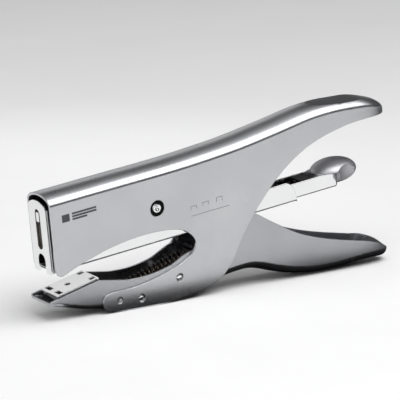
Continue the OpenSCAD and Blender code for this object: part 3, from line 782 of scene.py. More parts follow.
lever_stations = steps_between(LEVER_START, HOLLOW_ROOT, 50) + steps_between(HOLLOW_ROOT, HOLLOW_END, 26)
lever_stations += [x for x in rounded_steps(LEVER_NOSE, LEVER_TIP, 26) if x > HOLLOW_END + 0.2]
trough = loft("trough", [lever_loop(x) for x in lever_stations])
print("trough:", len(lever_stations), "sections")

# %% [markdown]
# ## Flat pieces from an outline
# Arms, ears and cheeks are flat sheet with holes. A filled 2D curve is the short way: the outline
# and its holes are splines, the extrusion is the sheet's thickness and a small bevel is its broken
# edge. The curve becomes a mesh before it is set in place.


# %% A flat plate with holes
def flat_outline(name, outlines, y, thickness, edge):
    """A flat plate with broken edges, from closed outlines in the side view. Later ones are holes."""
    curve = bpy.data.curves.new(name, "CURVE")
    curve.dimensions = "2D"
    curve.fill_mode = "BOTH"
    curve.extrude = thickness / 2 - edge
    curve.bevel_depth = edge
    curve.bevel_resolution = 2
    curve.offset = -edge
    for outline in outlines:
        spline = curve.splines.new("POLY")
        spline.points.add(len(outline) - 1)
        spline.use_cyclic_u = True
        for point, (x, z) in zip(spline.points, outline):
            point.co = (x, z, 0, 1)
    holder = new_object(name, curve)
    mesh = plain_mesh(holder)
    bpy.data.objects.remove(holder)
    mesh.transform(Matrix.Translation((0, y, 0)) @ Matrix.Rotation(math.pi / 2, 4, "X"))
    shape = bmesh.new()
    shape.from_mesh(mesh)
    bmesh.ops.remove_doubles(shape, verts=shape.verts, dist=MERGE)
    bmesh.ops.recalc_face_normals(shape, faces=shape.faces)
    shape.to_mesh(mesh)
    shape.free()
    return mesh


def circle(at, radius, count=40):
    turns = [2 * math.pi * k / count for k in range(count)]
    return [(at[0] + radius * math.cos(a), at[1] + radius * math.sin(a)) for a in turns]


# %% Arms and lever
PIVOT_R, PIVOT_SLACK = 2.5, 0.05
HOOK = (24.5, -28)
DRIVE = (-50, 5)
ARM_EDGE = 0.12
pivot_bore = circle((0, 0), PIVOT_R + PIVOT_SLACK)
arm_shape = [smooth(ARM_TOP) + smooth(ARM_UNDER) + ARM_NOSE, pivot_bore, circle(HOOK, PIN_R),
             circle(DRIVE, PIN_R)]
arms = [flat_outline("arm", arm_shape, side * (LEVER_OUT - LEVER_WALL / 2), LEVER_WALL, ARM_EDGE)
        for side in (-1, 1)]
lever = new_object("squeeze_lever", joined("squeeze_lever", [outward(trough)] + arms))
break_edges(lever, 0.2)
finished(lever, "lever", ["lower_handle"], SATIN_NICKEL)

# %% [markdown]
# ## The lower jaw
# The jaw is a folded channel, open upwards, so its two long corners are round and its cut edges are
# thin and bright. Its front end leans, because the blank was sheared square and then bent. The
# same loop idea serves, with a corner radius outside and one wall less inside.

# %% Outlines of the jaw
JAW_UPPER = [(-32.2, -25.9), (-27.4, -27.1), (-22, -28.5), (-17, -29.6), (-6.4, -30.3), (4.6, -29), (10, -27),
             (15, -25.2), (19.4, -24.6)]
JAW_UNDER = [(-58.8, -31), (-50, -34.4), (-42, -37.1), (-32, -39.7), (-22, -42.4), (-13, -43.7), (0, -44.9),
             (12, -44.8), (19.4, -44)]
ANVIL_FRONT, ANVIL_BACK = (-54.6, -27.7), (-32.4, -24.7)
WALL_FRONT = (ANVIL_FRONT[0] - 2.8, ANVIL_FRONT[1] - 1.3)
WALL_BACK = (ANVIL_BACK[0] - 0.6, ANVIL_BACK[1] - 0.9)
JAW_CORNER = 2.4
JAW_FRONT, JAW_BEND, JAW_END = -58.8, -33, 19.4
JAW_LEAN, LEAN_LEN = 0.1, 7


def jaw_top(x):
    """Top of the jaw's walls: straight beside the anvil, then along the throat."""
    if x > JAW_UPPER[0][0]:
        return height(JAW_UPPER, x)
    share = (x - WALL_FRONT[0]) / (WALL_BACK[0] - WALL_FRONT[0])
    return WALL_FRONT[1] + (WALL_BACK[1] - WALL_FRONT[1]) * share


print("walls at the jaw's front:", round(jaw_top(JAW_FRONT) - height(JAW_UNDER, JAW_FRONT), 2), "mm high")


# %% Section of a channel
CORNER_STEPS = 6
CORNER_SHARE = 0.6
INSIDE_LEAST = 0.15


def channel_loop(x, half, wall, low, top, corner, lean=0):
    """Closed section of a channel open upwards. Its round corners shrink with its walls."""
    loop = []
    corner = min(corner, CORNER_SHARE * (top - low))

    def corner_arc(side, width, floor, radius, backwards):
        turns = range(CORNER_STEPS, -1, -1) if backwards else range(CORNER_STEPS + 1)
        for k in turns:
            a = math.pi / 2 * k / CORNER_STEPS
            y = side * (width - radius + radius * math.cos(a))
            loop.append((y, floor + radius - radius * math.sin(a)))

    loop.append((half, top))
    corner_arc(1, half, low, corner, False)
    corner_arc(-1, half, low, corner, True)
    loop.append((-half, top))
    inner = half - wall
    inside = max(corner - wall, INSIDE_LEAST)
    loop.append((-inner, top))
    corner_arc(-1, inner, low + wall, inside, False)
    corner_arc(1, inner, low + wall, inside, True)
    loop.append((inner, top))
    return [(x + lean * (z - low), y, z) for y, z in loop]


# %% The folded jaw
jaw_rows = []
for x in steps_between(JAW_FRONT, JAW_BEND, 20) + steps_between(JAW_BEND, JAW_END, 40) + [JAW_END]:
    low = height(JAW_UNDER, x)
    leaning = JAW_LEAN * max(0, 1 - (x - JAW_FRONT) / LEAN_LEN)
    jaw_rows.append(channel_loop(x, JAW_OUT, JAW_WALL, low, jaw_top(x), JAW_CORNER, leaning))
jaw = new_object("folded_jaw", outward(loft("folded_jaw", jaw_rows)))
break_edges(jaw, 0.15)
finished(jaw, "frame", ["lower_jaw"], SATIN_NICKEL)

# %% [markdown]
# ## The anvil
# The anvil is a small bright plate with turned-down sides, two deep grooves that curl the staple's
# legs, and two windows at its back corners. It could be modelled vertex by vertex, but it is sheet
# that a press cut, so blocks added and taken away follow its making. It tilts with the jaw, so it
# is drawn flat in its own frame and turned into place.

# %% The anvil plate
ANVIL_TILT = math.atan2(ANVIL_BACK[1] - ANVIL_FRONT[1], ANVIL_BACK[0] - ANVIL_FRONT[0])
ANVIL_LEN = math.dist(ANVIL_FRONT, ANVIL_BACK)
ANVIL_T = 1.2
FLANGE_T, FLANGE_LOW, FLANGE_INSET = 0.8, -2.6, 2
LIP_T, LIP_LOW = 0.9, -2.3
INTO_PLATE = -0.3
BELOW, ABOVE = -3, 1
GROOVE = (1.8, 3.9, 1.7, 6.2)
GROOVE_LOW = -1.5
WINDOW = (ANVIL_LEN - 3.6, ANVIL_LEN - 0.9, ANVIL_HALF - 3.4, ANVIL_HALF - 1.2)
SEAT_AT, SEAT_R = 10.2, 1.3


def pair_of_cuts(piece, name, outline, low):
    """The same opening on both sides: outline is (x0, x1, y0, y1), measured from the middle."""
    x0, x1, y0, y1 = outline
    cut(piece, block(name, (x0, -y1, low), (x1, -y0, ABOVE)))
    cut(piece, block(name, (x0, y0, low), (x1, y1, ABOVE)))


anvil_frame = HEAD @ Matrix.Translation((ANVIL_FRONT[0], 0, ANVIL_FRONT[1]))
on_anvil = anvil_frame @ Matrix.Rotation(-ANVIL_TILT, 4, "Y")
anvil = new_object("anvil_plate_bright",
                   block("anvil", (0, -ANVIL_HALF, -ANVIL_T), (ANVIL_LEN, ANVIL_HALF, 0)))
cut(anvil, block("flanges", (FLANGE_INSET, -ANVIL_HALF, FLANGE_LOW),
                 (ANVIL_LEN - FLANGE_INSET, ANVIL_HALF, INTO_PLATE)), "UNION")
cut(anvil, block("front_lip", (0, -ANVIL_HALF + LIP_T, LIP_LOW),
                 (LIP_T, ANVIL_HALF - LIP_T, INTO_PLATE)), "UNION")
cut(anvil, block("hollow", (1, -ANVIL_HALF + FLANGE_T, BELOW),
                 (ANVIL_LEN - 1, ANVIL_HALF - FLANGE_T, -ANVIL_T)))
pair_of_cuts(anvil, "groove", GROOVE, GROOVE_LOW)
pair_of_cuts(anvil, "window", WINDOW, BELOW)
cut(anvil, cylinder("rivet_seat", SEAT_R, 2, (SEAT_AT, 0, 0.2), "Z"))
break_edges(anvil, 0.16)
finished(anvil, "frame", ["anvil_plate"], BRIGHT_NICKEL, on_anvil)

# %% [markdown]
# ## The magazine channel
# The magazine is folded from thin bright strip and ends in a curve at the back. The loop idea gives
# that by letting the wall's top run down a quarter of an ellipse, with stations that crowd towards
# the end. The ears on the pivot and the cheeks at the front are flat, so they are drawn as
# outlines and joined to the channel.

# %% Channel walls
MAG_LOW, MAG_TOP = -17.1, -7.0
MAG_START, MAG_END = -54.3, 77.6
MAG_CORNER, MAG_LEAST = 1.5, 0.65
ROUND_END, END_STEPS = 5.4, 14


def falling(x, end, length, low, top):
    """Top of a wall that ends in a quarter of an ellipse."""
    t = max(0, (x - end + length) / length)
    return low + (top - low) * math.sqrt(max(1 - t * t, 0))


def end_stations(start, end, length, count):
    """Even stations, and then stations that crowd towards a round end."""
    turns = [math.pi / 2 * k / END_STEPS for k in range(END_STEPS + 1)]
    return steps_between(start, end - length, count) + [end - length + length * math.sin(a) for a in turns]


channel_rows = []
for x in end_stations(MAG_START, MAG_END, ROUND_END, 12):
    top = max(falling(x, MAG_END, ROUND_END, MAG_LOW, MAG_TOP), MAG_LOW + CHANNEL_WALL + MAG_LEAST)
    channel_rows.append(channel_loop(x, CHANNEL_OUT, CHANNEL_WALL, MAG_LOW, top, MAG_CORNER))
channel_parts = [outward(loft("channel", channel_rows))]
print("channel:", len(channel_rows), "sections")

# %% Ears and cheeks
EAR_R, EAR_SKIRT = 6, 7
CHEEK_FROM, CHEEK_TO, CHEEK_TOP = MAG_START - 0.9, -52.2, 12.6
SHEET_EDGE = 0.08
ear_turns = [math.radians(a) for a in range(150, 29, -6)]
ear_arch = [(EAR_R * math.cos(a), EAR_R * math.sin(a)) for a in ear_turns]
ear = [(-EAR_R - EAR_SKIRT, MAG_TOP)] + ear_arch + [(EAR_R + EAR_SKIRT, MAG_TOP)]
cheek = [(CHEEK_FROM, MAG_LOW), (CHEEK_FROM, CHEEK_TOP), (CHEEK_TO, CHEEK_TOP), (CHEEK_TO, MAG_TOP + 1.5),
         (CHEEK_TO + 1.5, MAG_TOP), (MAG_START, MAG_TOP), (MAG_START, MAG_LOW)]
for side in (-1, 1):
    middle = side * (CHANNEL_OUT - CHANNEL_WALL / 2)
    for name, outlines in (("ear", [ear, pivot_bore]), ("cheek", [cheek])):
        channel_parts.append(flat_outline(name, outlines, middle, CHANNEL_WALL, SHEET_EDGE))
channel = new_object("magazine_strip_channel", joined("magazine_strip_channel", channel_parts))
break_edges(channel, 0.3)
finished(channel, "magazine", ["magazine_channel"], BRIGHT_NICKEL)

# %% [markdown]
# ## The core rail
# The rail slides inside the magazine and carries the feed spring. It is the same folded strip, one
# wall smaller, and only the top of its end is round, so its walls stay high enough to hold the knob.

# %% Core rail
RAIL_LOW, RAIL_TOP = -16.3, -8.85
RAIL_END = 101.5
RAIL_ROUND, RAIL_CORNER = 4, 1.3
rail_rows = [channel_loop(x, RAIL_OUT, CHANNEL_WALL, RAIL_LOW,
                          falling(x, RAIL_END, RAIL_ROUND, RAIL_TOP - RAIL_ROUND, RAIL_TOP), RAIL_CORNER)
             for x in end_stations(MAG_START, RAIL_END, RAIL_ROUND, 14)]
rail = new_object("pull_out_rail", outward(loft("pull_out_rail", rail_rows)))
break_edges(rail, 0.28)
finished(rail, "rail", ["core_rail"], BRIGHT_NICKEL)

# %% [markdown]
# ## The front plate
# A bright plate closes the magazine's front. The slot lets the driver's stud run, and the notch
# below lets the staple out. It is sheet again, so it is one more flat outline, turned to face
# forward. Its edges are already broken by the curve's own bevel, and it needs no other.

# %% Front plate
FRONT_FACE, FRONT_T, FRONT_EDGE = -56.2, 1, 0.18
SLOT_HALF, SLOT_LOW, SLOT_HIGH = 2.1, -6.8, 11.8
NOTCH_HALF, NOTCH_TOP = 3, -9
PLATE_LOW = -17.5
PLATE_ARCH_LOW, PLATE_ARCH = 12.4, 3.6


def arc(z, radius, start, end, count=12, rise=None):
    """Arc over the middle line at height z, in degrees. A rise makes it part of an ellipse."""
    rise = radius if rise is None else rise
    turns = [math.radians(start + (end - start) * k / count) for k in range(count + 1)]
    return [(radius * math.cos(a), z + rise * math.sin(a)) for a in turns]


plate_outline = ([(-PLATE_HALF, PLATE_LOW), (-NOTCH_HALF, PLATE_LOW)]
                 + arc(NOTCH_TOP - NOTCH_HALF, NOTCH_HALF, 180, 0)
                 + [(NOTCH_HALF, PLATE_LOW), (PLATE_HALF, PLATE_LOW)]
                 + arc(PLATE_ARCH_LOW, PLATE_HALF, 0, 180, 36, PLATE_ARCH))
plate_slot = arc(SLOT_HIGH - SLOT_HALF, SLOT_HALF, 0, 180) + arc(SLOT_LOW + SLOT_HALF, SLOT_HALF, 180, 360)
plate_mesh = flat_outline("front_guide_plate", [plate_outline, plate_slot], 0, FRONT_T, FRONT_EDGE)
facing = Matrix.Translation((FRONT_FACE + FRONT_T / 2, 0, 0)) @ Matrix.Rotation(math.pi / 2, 4, "Z")
plate_mesh.transform(facing)
plate = new_object("front_guide_plate", plate_mesh)
keep_flats_flat(plate)
finished(plate, "magazine", ["front_plate"], BRIGHT_NICKEL)

# %% [markdown]
# ## The driver's stud
# The stud that shows in the slot is a flat-sided tab on a round shank, so that it can't turn as it
# runs down. A block with its corners rounded by a bevel is enough for the tab, and it rides with the
# driver behind the plate.

# %% The stud in the slot
STUD_MIDDLE, STUD_R, STUD_END = 8, 1.5, -51.4
TAB_FACE, BLADE_FACE = FRONT_FACE + 0.25, -55.1
TAB_LOW, TAB_HIGH, TAB_TALL = -0.6, 1.7, 2.3
SHANK_START = BLADE_FACE - 0.2
stud = new_object("stud_in_slot", block("tab", (TAB_FACE, TAB_LOW, STUD_MIDDLE - TAB_TALL),
                                        (BLADE_FACE, TAB_HIGH, STUD_MIDDLE + TAB_TALL)))
break_edges(stud, 0.3)
shank_middle = ((STUD_END + SHANK_START) / 2, 0, STUD_MIDDLE)
cut(stud, cylinder("shank", STUD_R, STUD_END - SHANK_START, shank_middle, "X"), "UNION")
finished(stud, "driver", ["driver_stud"], BRIGHT_NICKEL)

# %% [markdown]
# ## The knob
# The knob is an egg of cast zinc that sits on the rail's end, with a dish for a fingertip on each
# flank. Sculpting or subdivision could give it, but an egg and two balls are what a pattern maker
# would draw. A dense egg with the dishes cut from it keeps the dishes' edges crisp.

# %% The cast knob
KNOB_AT = Vector((RAIL_END + 2.5, 0, -9.7))
KNOB_SIZE = (11.75, half_width("knob"), 5.75)
NECK_LOW, NECK_HIGH, NECK_FRONT = RAIL_LOW + CHANNEL_WALL, RAIL_TOP + 0.6, RAIL_END - 9
NECK_HALF = RAIL_OUT - CHANNEL_WALL - 0.05
DISH_R, DISH_DEPTH = 12, 2.9
DISH_BACK, DISH_DROP = 3.6, -0.6
KNOB_RIVET_R, KNOB_RIVET_AT = 1.4, RAIL_END - 4.6
RAIL_SLACK = 0.1
egg_place = (Matrix.Translation(KNOB_AT) @ Matrix.Diagonal((*KNOB_SIZE, 1))
             @ Matrix.Rotation(math.pi / 2, 4, "Y"))
knob = new_object("cast_knob", ball("cast_knob", 1, egg_place))
cut(knob, block("rail_room", (RAIL_END - 20, -12, -22), (RAIL_END + RAIL_SLACK, 12, RAIL_TOP + RAIL_SLACK)))
cut(knob, block("neck", (NECK_FRONT, -NECK_HALF, NECK_LOW), (RAIL_END + 1, NECK_HALF, NECK_HIGH)), "UNION")
for side in (-1, 1):
    centre = KNOB_AT + Vector((DISH_BACK, side * (KNOB_SIZE[1] + DISH_R - DISH_DEPTH), DISH_DROP))
    cut(knob, ball("dish", DISH_R, Matrix.Translation(centre)))
cut(knob, cylinder("rivet_hole", KNOB_RIVET_R, 12, (KNOB_RIVET_AT, 0, RAIL_LOW), "Z"))
break_edges(knob, 0.18, 3, 25)
finished(knob, "rail", ["knob"], CAST_SATIN)

# %% [markdown]
# ## Turned pieces
# The pivot pin's ends are turned with a broken corner and a shallow centre, and sit in blackened
# collars a little below the sheet. The Screw modifier could spin it too, but a loop over angles
# shows how a turned piece is one profile carried round its axis. Both ends are alike, so only half
# the profile is written.

# %% Pivot pin and collars
PIN_END = SHELL_OUT - 0.15


def both_ends(half_profile):
    """A profile from one end of a pin, and its mirror image to the other end."""
    return half_profile + [(radius, -along) for radius, along in half_profile[::-1]]


pin_profile = both_ends([(0, PIN_END - 0.45), (0.7, PIN_END - 0.4), (1.15, PIN_END - 0.05), (1.5, PIN_END),
                         (1.95, PIN_END - 0.08), (2.15, PIN_END - 0.5), (PIVOT_R, PIN_END - 0.75)])
pin = new_object("turned_pivot_pin", lathe("turned_pivot_pin", pin_profile, (0, 0, 0), ACROSS))
break_edges(pin, 0.05, 2)
finished(pin, "frame", ["pivot_pin"], BRIGHT_NICKEL)
clad(frame["nodes"]["pivot_collars"].data, BLACKENED)

# %% [markdown]
# ## Rivet heads by the row
# Four rivet ends look alike, so one is turned and Geometry Nodes set a copy on each point of a
# small cloud. Duplicating objects by hand would work for four, but the same tree also lays the
# fifty staples. It ends by making the copies real and giving them their metal, and the result is
# turned into a plain mesh.


# %% The tree that sets copies on points
def new_tree(name, inputs):
    """An empty Geometry Nodes tree with named inputs: {label: kind of socket}."""
    tree = bpy.data.node_groups.new(name, "GeometryNodeTree")
    for label, kind in inputs.items():
        tree.interface.new_socket(label, in_out="INPUT", socket_type="NodeSocket" + kind)
    tree.interface.new_socket("Geometry", in_out="OUTPUT", socket_type="NodeSocketGeometry")
    return tree


def made_real(tree, last, given):
    """Ends a tree: its instances are made real and take the Finish input."""
    real = add(tree, "GeometryNodeRealizeInstances", {"Geometry": last.outputs[0]})
    done = add(tree, "GeometryNodeSetMaterial",
               {"Geometry": real.outputs[0], "Material": given.outputs["Finish"]})
    add(tree, "NodeGroupOutput", {"Geometry": done.outputs[0]})
    return tree


def copies_tree(name):
    """Sets a copy of one part on every point of the mesh that carries the modifier."""
    tree = new_tree(name, {"Geometry": "Geometry", "Part": "Object", "Size": "Float", "Finish": "Material"})
    given = add(tree, "NodeGroupInput")
    part = add(tree, "GeometryNodeObjectInfo", {"Object": given.outputs["Part"]})
    spots = add(tree, "GeometryNodeMeshToPoints", {"Mesh": given.outputs["Geometry"]})
    placed = add(tree, "GeometryNodeInstanceOnPoints", {"Points": spots.outputs[0],
                                                        "Instance": part.outputs["Geometry"],
                                                        "Scale": given.outputs["Size"]})
    return made_real(tree, placed, given)


def with_tree(holder, tree, values):
    """Puts a tree on the holder, with its named inputs set before anything is evaluated."""
    modifier = holder.modifiers.new(tree.name, "NODES")
    modifier.node_group = tree
    for item in tree.interface.items_tree:
        if item.in_out == "INPUT" and item.name in values:
            modifier[item.identifier] = values[item.name]


COPIES = copies_tree("copies_on_points")
print(COPIES.name, "has", len(COPIES.nodes), "nodes")


# %% Copies as one plain mesh
def copies(name, points, part_mesh, material):
    """A new object: part_mesh repeated at each of the points."""
    part = new_object(name + "_part", part_mesh)
    for polygon in part_mesh.polygons:
        polygon.use_smooth = True
    cloud = bpy.data.meshes.new(name)
    cloud.from_pydata(points, [], [])
    holder = new_object(name, cloud)
    with_tree(holder, COPIES, {"Part": part, "Size": 1.0, "Finish": material})
    mesh = plain_mesh(holder)
    holder.modifiers.clear()
    holder.data = mesh
    bpy.data.objects.remove(part)
    return holder


# %% Jaw rivets
RIVET_END = SHELL_OUT - 0.3
rivet_profile = both_ends([(0, RIVET_END), (0.9, RIVET_END - 0.03), (1.4, RIVET_END - 0.18),
                           (1.62, RIVET_END - 0.45), (1.62, RIVET_END - 1.4),
                           (RIVET_R - 0.02, RIVET_END - 1.4)])
rivet = lathe("rivet", rivet_profile, (0, 0, 0), ACROSS, 40)
rivets = copies("jaw_rivet_pair", [(x, 0, z) for x, z in RIVETS], rivet, BRIGHT_NICKEL)
finished(rivets, "frame", ["jaw_rivets"], BRIGHT_NICKEL)

# %% [markdown]
# ## A strip of staples
# Fifty staples are glued side by side. Each is bent from flattened wire, and the small steps between
# neighbours are what makes the strip read as a strip. One staple is drawn and the same tree repeats
# it along the rail.

# %% The strip
STAPLE_HALF = half_width("staple_strip")
STAPLES = 50
STRIP_START, STRIP_LEN = MAG_START, 34
STAPLE_PITCH = STRIP_LEN / STAPLES
STAPLE_LOW, STAPLE_TOP, WIRE = -16.3, -8.3, 0.5
GLUE_LINE = 0.02
one = []
for low, high in (((-STAPLE_HALF, STAPLE_TOP - WIRE), (STAPLE_HALF, STAPLE_TOP)),
                  ((-STAPLE_HALF, STAPLE_LOW), (-STAPLE_HALF + WIRE, STAPLE_TOP - WIRE)),
                  ((STAPLE_HALF - WIRE, STAPLE_LOW), (STAPLE_HALF, STAPLE_TOP - WIRE))):
    one.append(block("wire", (GLUE_LINE, *low), (STAPLE_PITCH - GLUE_LINE, *high)))
strip = copies("glued_staples", [(STRIP_START + STAPLE_PITCH * k, 0, 0) for k in range(STAPLES)],
               joined("staple", one), ZINC_WIRE)
finished(strip, "magazine", ["staple_strip"], ZINC_WIRE)

# %% [markdown]
# ## Springs
# A coil spring is a helix with a round section, which is a rule and not a shape to model by hand.
# The feed spring is a tree of its own: a spiral curve, a small circle swept along it, and the wire's
# metal. In the tool it is pushed shorter as the follower slides back; here it is drawn at one length.


# %% Feed spring
def spring_tree(name):
    """A coil spring along +Z: a round section swept along a spiral."""
    tree = new_tree(name, {"Coil radius": "Float", "Wire radius": "Float", "Length": "Float",
                           "Turns": "Float", "Finish": "Material"})
    given = add(tree, "NodeGroupInput")
    spiral = add(tree, "GeometryNodeCurveSpiral",
                 {"Resolution": 24, "Rotations": given.outputs["Turns"],
                  "Start Radius": given.outputs["Coil radius"], "End Radius": given.outputs["Coil radius"],
                  "Height": given.outputs["Length"]})
    section = add(tree, "GeometryNodeCurvePrimitiveCircle",
                  {"Resolution": 10, "Radius": given.outputs["Wire radius"]})
    swept = add(tree, "GeometryNodeCurveToMesh",
                {"Curve": spiral.outputs[0], "Profile Curve": section.outputs[0], "Fill Caps": True})
    return made_real(tree, swept, given)


ROD_Z = (RAIL_TOP + RAIL_LOW + CHANNEL_WALL) / 2
FEED_R, FEED_WIRE, FEED_TURNS = 2.3, 0.35, 30.0
PUSHER_GAP, PUSHER_LEN, ROD_END = 0.1, 8, RAIL_END - 17.5
FEED_FROM = STRIP_START + STRIP_LEN + PUSHER_GAP + PUSHER_LEN + FEED_WIRE
FEED_TO = ROD_END - FEED_WIRE
feed = new_object("feed_coil", bpy.data.meshes.new("feed_coil"))
with_tree(feed, spring_tree("coil_spring"),
          {"Coil radius": FEED_R, "Wire radius": FEED_WIRE, "Length": FEED_TO - FEED_FROM,
           "Turns": FEED_TURNS, "Finish": SPRING_WIRE})
lying = HEAD @ Matrix.Translation((FEED_FROM, 0, ROD_Z)) @ Matrix.Rotation(math.pi / 2, 4, "Y")
finished(feed, "rail", ["pusher_spring"], SPRING_WIRE, lying)
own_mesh(feed)

# %% [markdown]
# ## The return spring
# The spring that opens the handles has a ring round a pin at each end. A spiral can't give the
# rings, so the path is walked point by point and a curve's bevel gives it the wire's thickness. One
# end is held by the frame and the other by the lever, so in the tool it stretches between them; here
# it is drawn once, as it lies now, and hangs on neither.

# %% Path of the return spring
RETURN_R, RETURN_WIRE = 2.8, 0.5
RING_R = PIN_R + RETURN_WIRE + 0.1
TURNS, TURN_STEPS = 16, 20
LEAD, REACH = 4, 1.6
run = math.dist(DIMPLE, HOOK)
spring_angle = math.atan2(HOOK[1] - DIMPLE[1], HOOK[0] - DIMPLE[0])


def ring(centre, start, end):
    """The wire's path round a pin, from start to end in degrees."""
    turns = [math.radians(start + (end - start) * k / TURN_STEPS) for k in range(TURN_STEPS + 1)]
    return [(centre + RING_R * math.cos(a), 0, RING_R * math.sin(a)) for a in turns]


first, last = RING_R + LEAD, run - RING_R - LEAD
path = ring(0, 300, 10) + [(first - REACH, 0, 0)]
for k in range(TURNS * TURN_STEPS + 1):
    a = 2 * math.pi * k / TURN_STEPS
    along = first + (last - first) * k / (TURNS * TURN_STEPS)
    path.append((along, RETURN_R * math.sin(a), RETURN_R * math.cos(a)))
path += [(last + REACH, 0, 0)] + ring(run, 170, -120)
print("return spring:", len(path), "points,", round(run, 1), "mm between the pins")

# %% Return spring
wire = bpy.data.curves.new("return_coil", "CURVE")
wire.dimensions = "3D"
wire.bevel_depth = RETURN_WIRE
wire.bevel_resolution = 3
wire.use_fill_caps = True
spline = wire.splines.new("POLY")
spline.points.add(len(path) - 1)
for point, co in zip(spline.points, path):
    point.co = (*co, 1)
holder = new_object("return_coil_path", wire)
coil_mesh = plain_mesh(holder)
bpy.data.objects.remove(holder)
hooked = HEAD @ Matrix.Translation((DIMPLE[0], 0, DIMPLE[1])) @ Matrix.Rotation(-spring_angle, 4, "Y")
returner = new_object("return_coil", outward(coil_mesh))
ends = [tuple(HEAD @ Vector((x, 0, z))) for x, z in (DIMPLE, HOOK)]
finished(returner, "frame", ["return_spring"], SPRING_WIRE, hooked, ("lever", *ends))

# %% [markdown]
# ## The small exact pieces
# Pins, rod, follower and the driver's parts already have their true shape in the frame, down to the
# bores, so they keep it and only get their metal.

# %% Finishes for the frame's own pieces
for node, material in (("anvil_rivet", DULL_STEEL), ("spring_anchor_pin", DULL_STEEL),
                       ("spring_hook_pin", DULL_STEEL), ("driver_cross_pin", DULL_STEEL),
                       ("pivot_sleeve", DULL_STEEL), ("driver_blade", SPRING_WIRE),
                       ("driver_carrier", DULL_STEEL), ("guide_rod", DULL_STEEL), ("rod_anchor", BLACK_ACETAL),
                       ("knob_rivet", BRIGHT_NICKEL), ("pusher_follower", BLACK_ACETAL)):
    clad(frame["nodes"][node].data, material)

# %% [markdown]
# ## Table and flags
# Polished metal shows the room more than itself. The table is a plain pale sheet. Black flags lie on
# it that only reflections see, like the black card of a studio, so that the metal's undersides have
# something dark to show.

# %% Table
TABLE = [(-6, -6, 0), (6, -6, 0), (6, 6, 0), (-6, 6, 0)]
table = new_object("table", mesh_from("table", TABLE, [(0, 1, 2, 3)]))
paper_white, tree, shader = base_material("matt_white_table")
at = object_millimetres(tree)
fleck = add(tree, "ShaderNodeTexNoise", {"Vector": at, "Scale": 1 / 40, "Detail": 2.0})
tone = add(tree, "ShaderNodeMix",
           {"Factor": fleck.outputs["Fac"], "A": linear("#FAFAFA"), "B": linear("#F6F6F6")},
           data_type="RGBA")
tree.links.new(tone.outputs[2], shader.inputs["Base Color"])
shader.inputs["Roughness"].default_value = 0.9
table.data.materials.append(paper_white)

# %% Flags
FLAG_LIFT = 0.0006
FLAGS = [(-0.085, 0.13, -0.03, 0.035), (0.16, 0.75, -0.12, 0.5), (0.27, 0.75, -0.19, -0.12)]
corners = [(x, y, FLAG_LIFT) for x0, x1, y0, y1 in FLAGS
           for x, y in ((x0, y0), (x1, y0), (x1, y1), (x0, y1))]
quads = [tuple(range(4 * k, 4 * k + 4)) for k in range(len(FLAGS))]
flag = new_object("black_flag", mesh_from("black_flag", corners, quads))
velvet, tree, shader = base_material("black_velvet_flag")
nap = add(tree, "ShaderNodeTexNoise", {"Vector": object_millimetres(tree), "Scale": 1 / 3})
soft = add(tree, "ShaderNodeMapRange", {"Value": nap.outputs["Fac"], "To Min": 0.9, "To Max": 1.0})
tree.links.new(soft.outputs[0], shader.inputs["Roughness"])
shader.inputs["Base Color"].default_value = linear("#0C0C0D")
flag.data.materials.append(velvet)
flag.visible_camera = flag.visible_diffuse = flag.visible_shadow = False

# %% [markdown]
# ## Room and lamps
# Overhead and to the left are large soft lamps, and behind the tool the room falls away to grey, so
# that the crown has something dark to reflect beside the bright side. The room is a ramp over height
# and needs no picture. The lamps are rectangles, because their straight edges show in the chrome.

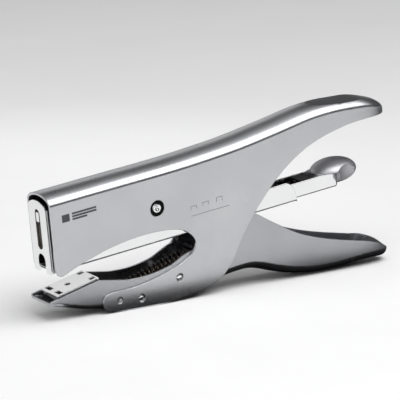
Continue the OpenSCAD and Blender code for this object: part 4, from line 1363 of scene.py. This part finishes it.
# %% Room
world = bpy.data.worlds.new("studio")
bpy.context.scene.world = world
world.use_nodes = True
sky = world.node_tree
sky.nodes.clear()
direction = add(sky, "ShaderNodeTexCoord")
parts = add(sky, "ShaderNodeSeparateXYZ", {"Vector": direction.outputs["Generated"]})
ramp = add(sky, "ShaderNodeValToRGB", {"Fac": parts.outputs["Z"]})
ramp.color_ramp.elements[0].position = 0.0
ramp.color_ramp.elements[0].color = (0.5, 0.5, 0.51, 1)
ramp.color_ramp.elements[1].position = 1.0
ramp.color_ramp.elements[1].color = (0.95, 0.95, 0.95, 1)
for position, grey in ((0.05, 0.10), (0.3, 0.03), (0.66, 0.04), (0.82, 0.3)):
    stop = ramp.color_ramp.elements.new(position)
    stop.color = (grey, grey, grey * 1.02, 1)
glow = add(sky, "ShaderNodeBackground", {"Color": ramp.outputs["Color"], "Strength": 1.0})
add(sky, "ShaderNodeOutputWorld", {"Surface": glow.outputs[0]})


# %% Lamps
def lamp(name, at, target, width, depth, power):
    """A rectangular lamp that faces its target, in metres and watts."""
    light = bpy.data.lights.new(name, "AREA")
    light.shape = "RECTANGLE"
    light.size = width
    light.size_y = depth
    light.energy = power
    holder = bpy.data.objects.new(name, light)
    bpy.context.scene.collection.objects.link(holder)
    holder.location = at
    holder.visible_camera = False
    holder.rotation_euler = (Vector(target) - Vector(at)).to_track_quat("-Z", "Y").to_euler()


lamp("overhead", (0.2, -0.42, 1.0), (0, 0, 0.04), 1.4, 0.9, 11.5)
lamp("left", (-0.9, -0.4, 0.5), (0, 0, 0.04), 0.6, 0.8, 2.5)
lamp("behind", (-0.5, 0.75, 0.36), (-0.06, 0, 0.02), 0.6, 0.4, 0.7)
lamp("anvil_card", (0.085, 0.32, 0.175), (-0.08, 0, 0.02), 0.26, 0.12, 0.075)

# %% [markdown]
# ## Camera
# A long lens from a little above the table keeps the tool's long lines nearly parallel.

# %% Camera
AIM = Vector((-9.45, 0, 42.95)) * MM
DISTANCE = 1.3667
AZIMUTH, ELEVATION, ROLL = (math.radians(a) for a in (-34.1, 14.64, 0.54))
back = Vector((math.sin(AZIMUTH) * math.cos(ELEVATION), -math.cos(AZIMUTH) * math.cos(ELEVATION),
               math.sin(ELEVATION)))
lens = bpy.data.cameras.new("camera")
lens.lens = 270
lens.sensor_width = 36
camera = bpy.data.objects.new("camera", lens)
bpy.context.scene.collection.objects.link(camera)
camera.location = AIM + back * DISTANCE
facing = back.to_track_quat("Z", "Y").to_matrix()
camera.rotation_euler = (facing @ Matrix.Rotation(ROLL, 3, "Z")).to_euler()
bpy.context.scene.camera = camera
bpy.context.scene.view_settings.view_transform = "Standard"
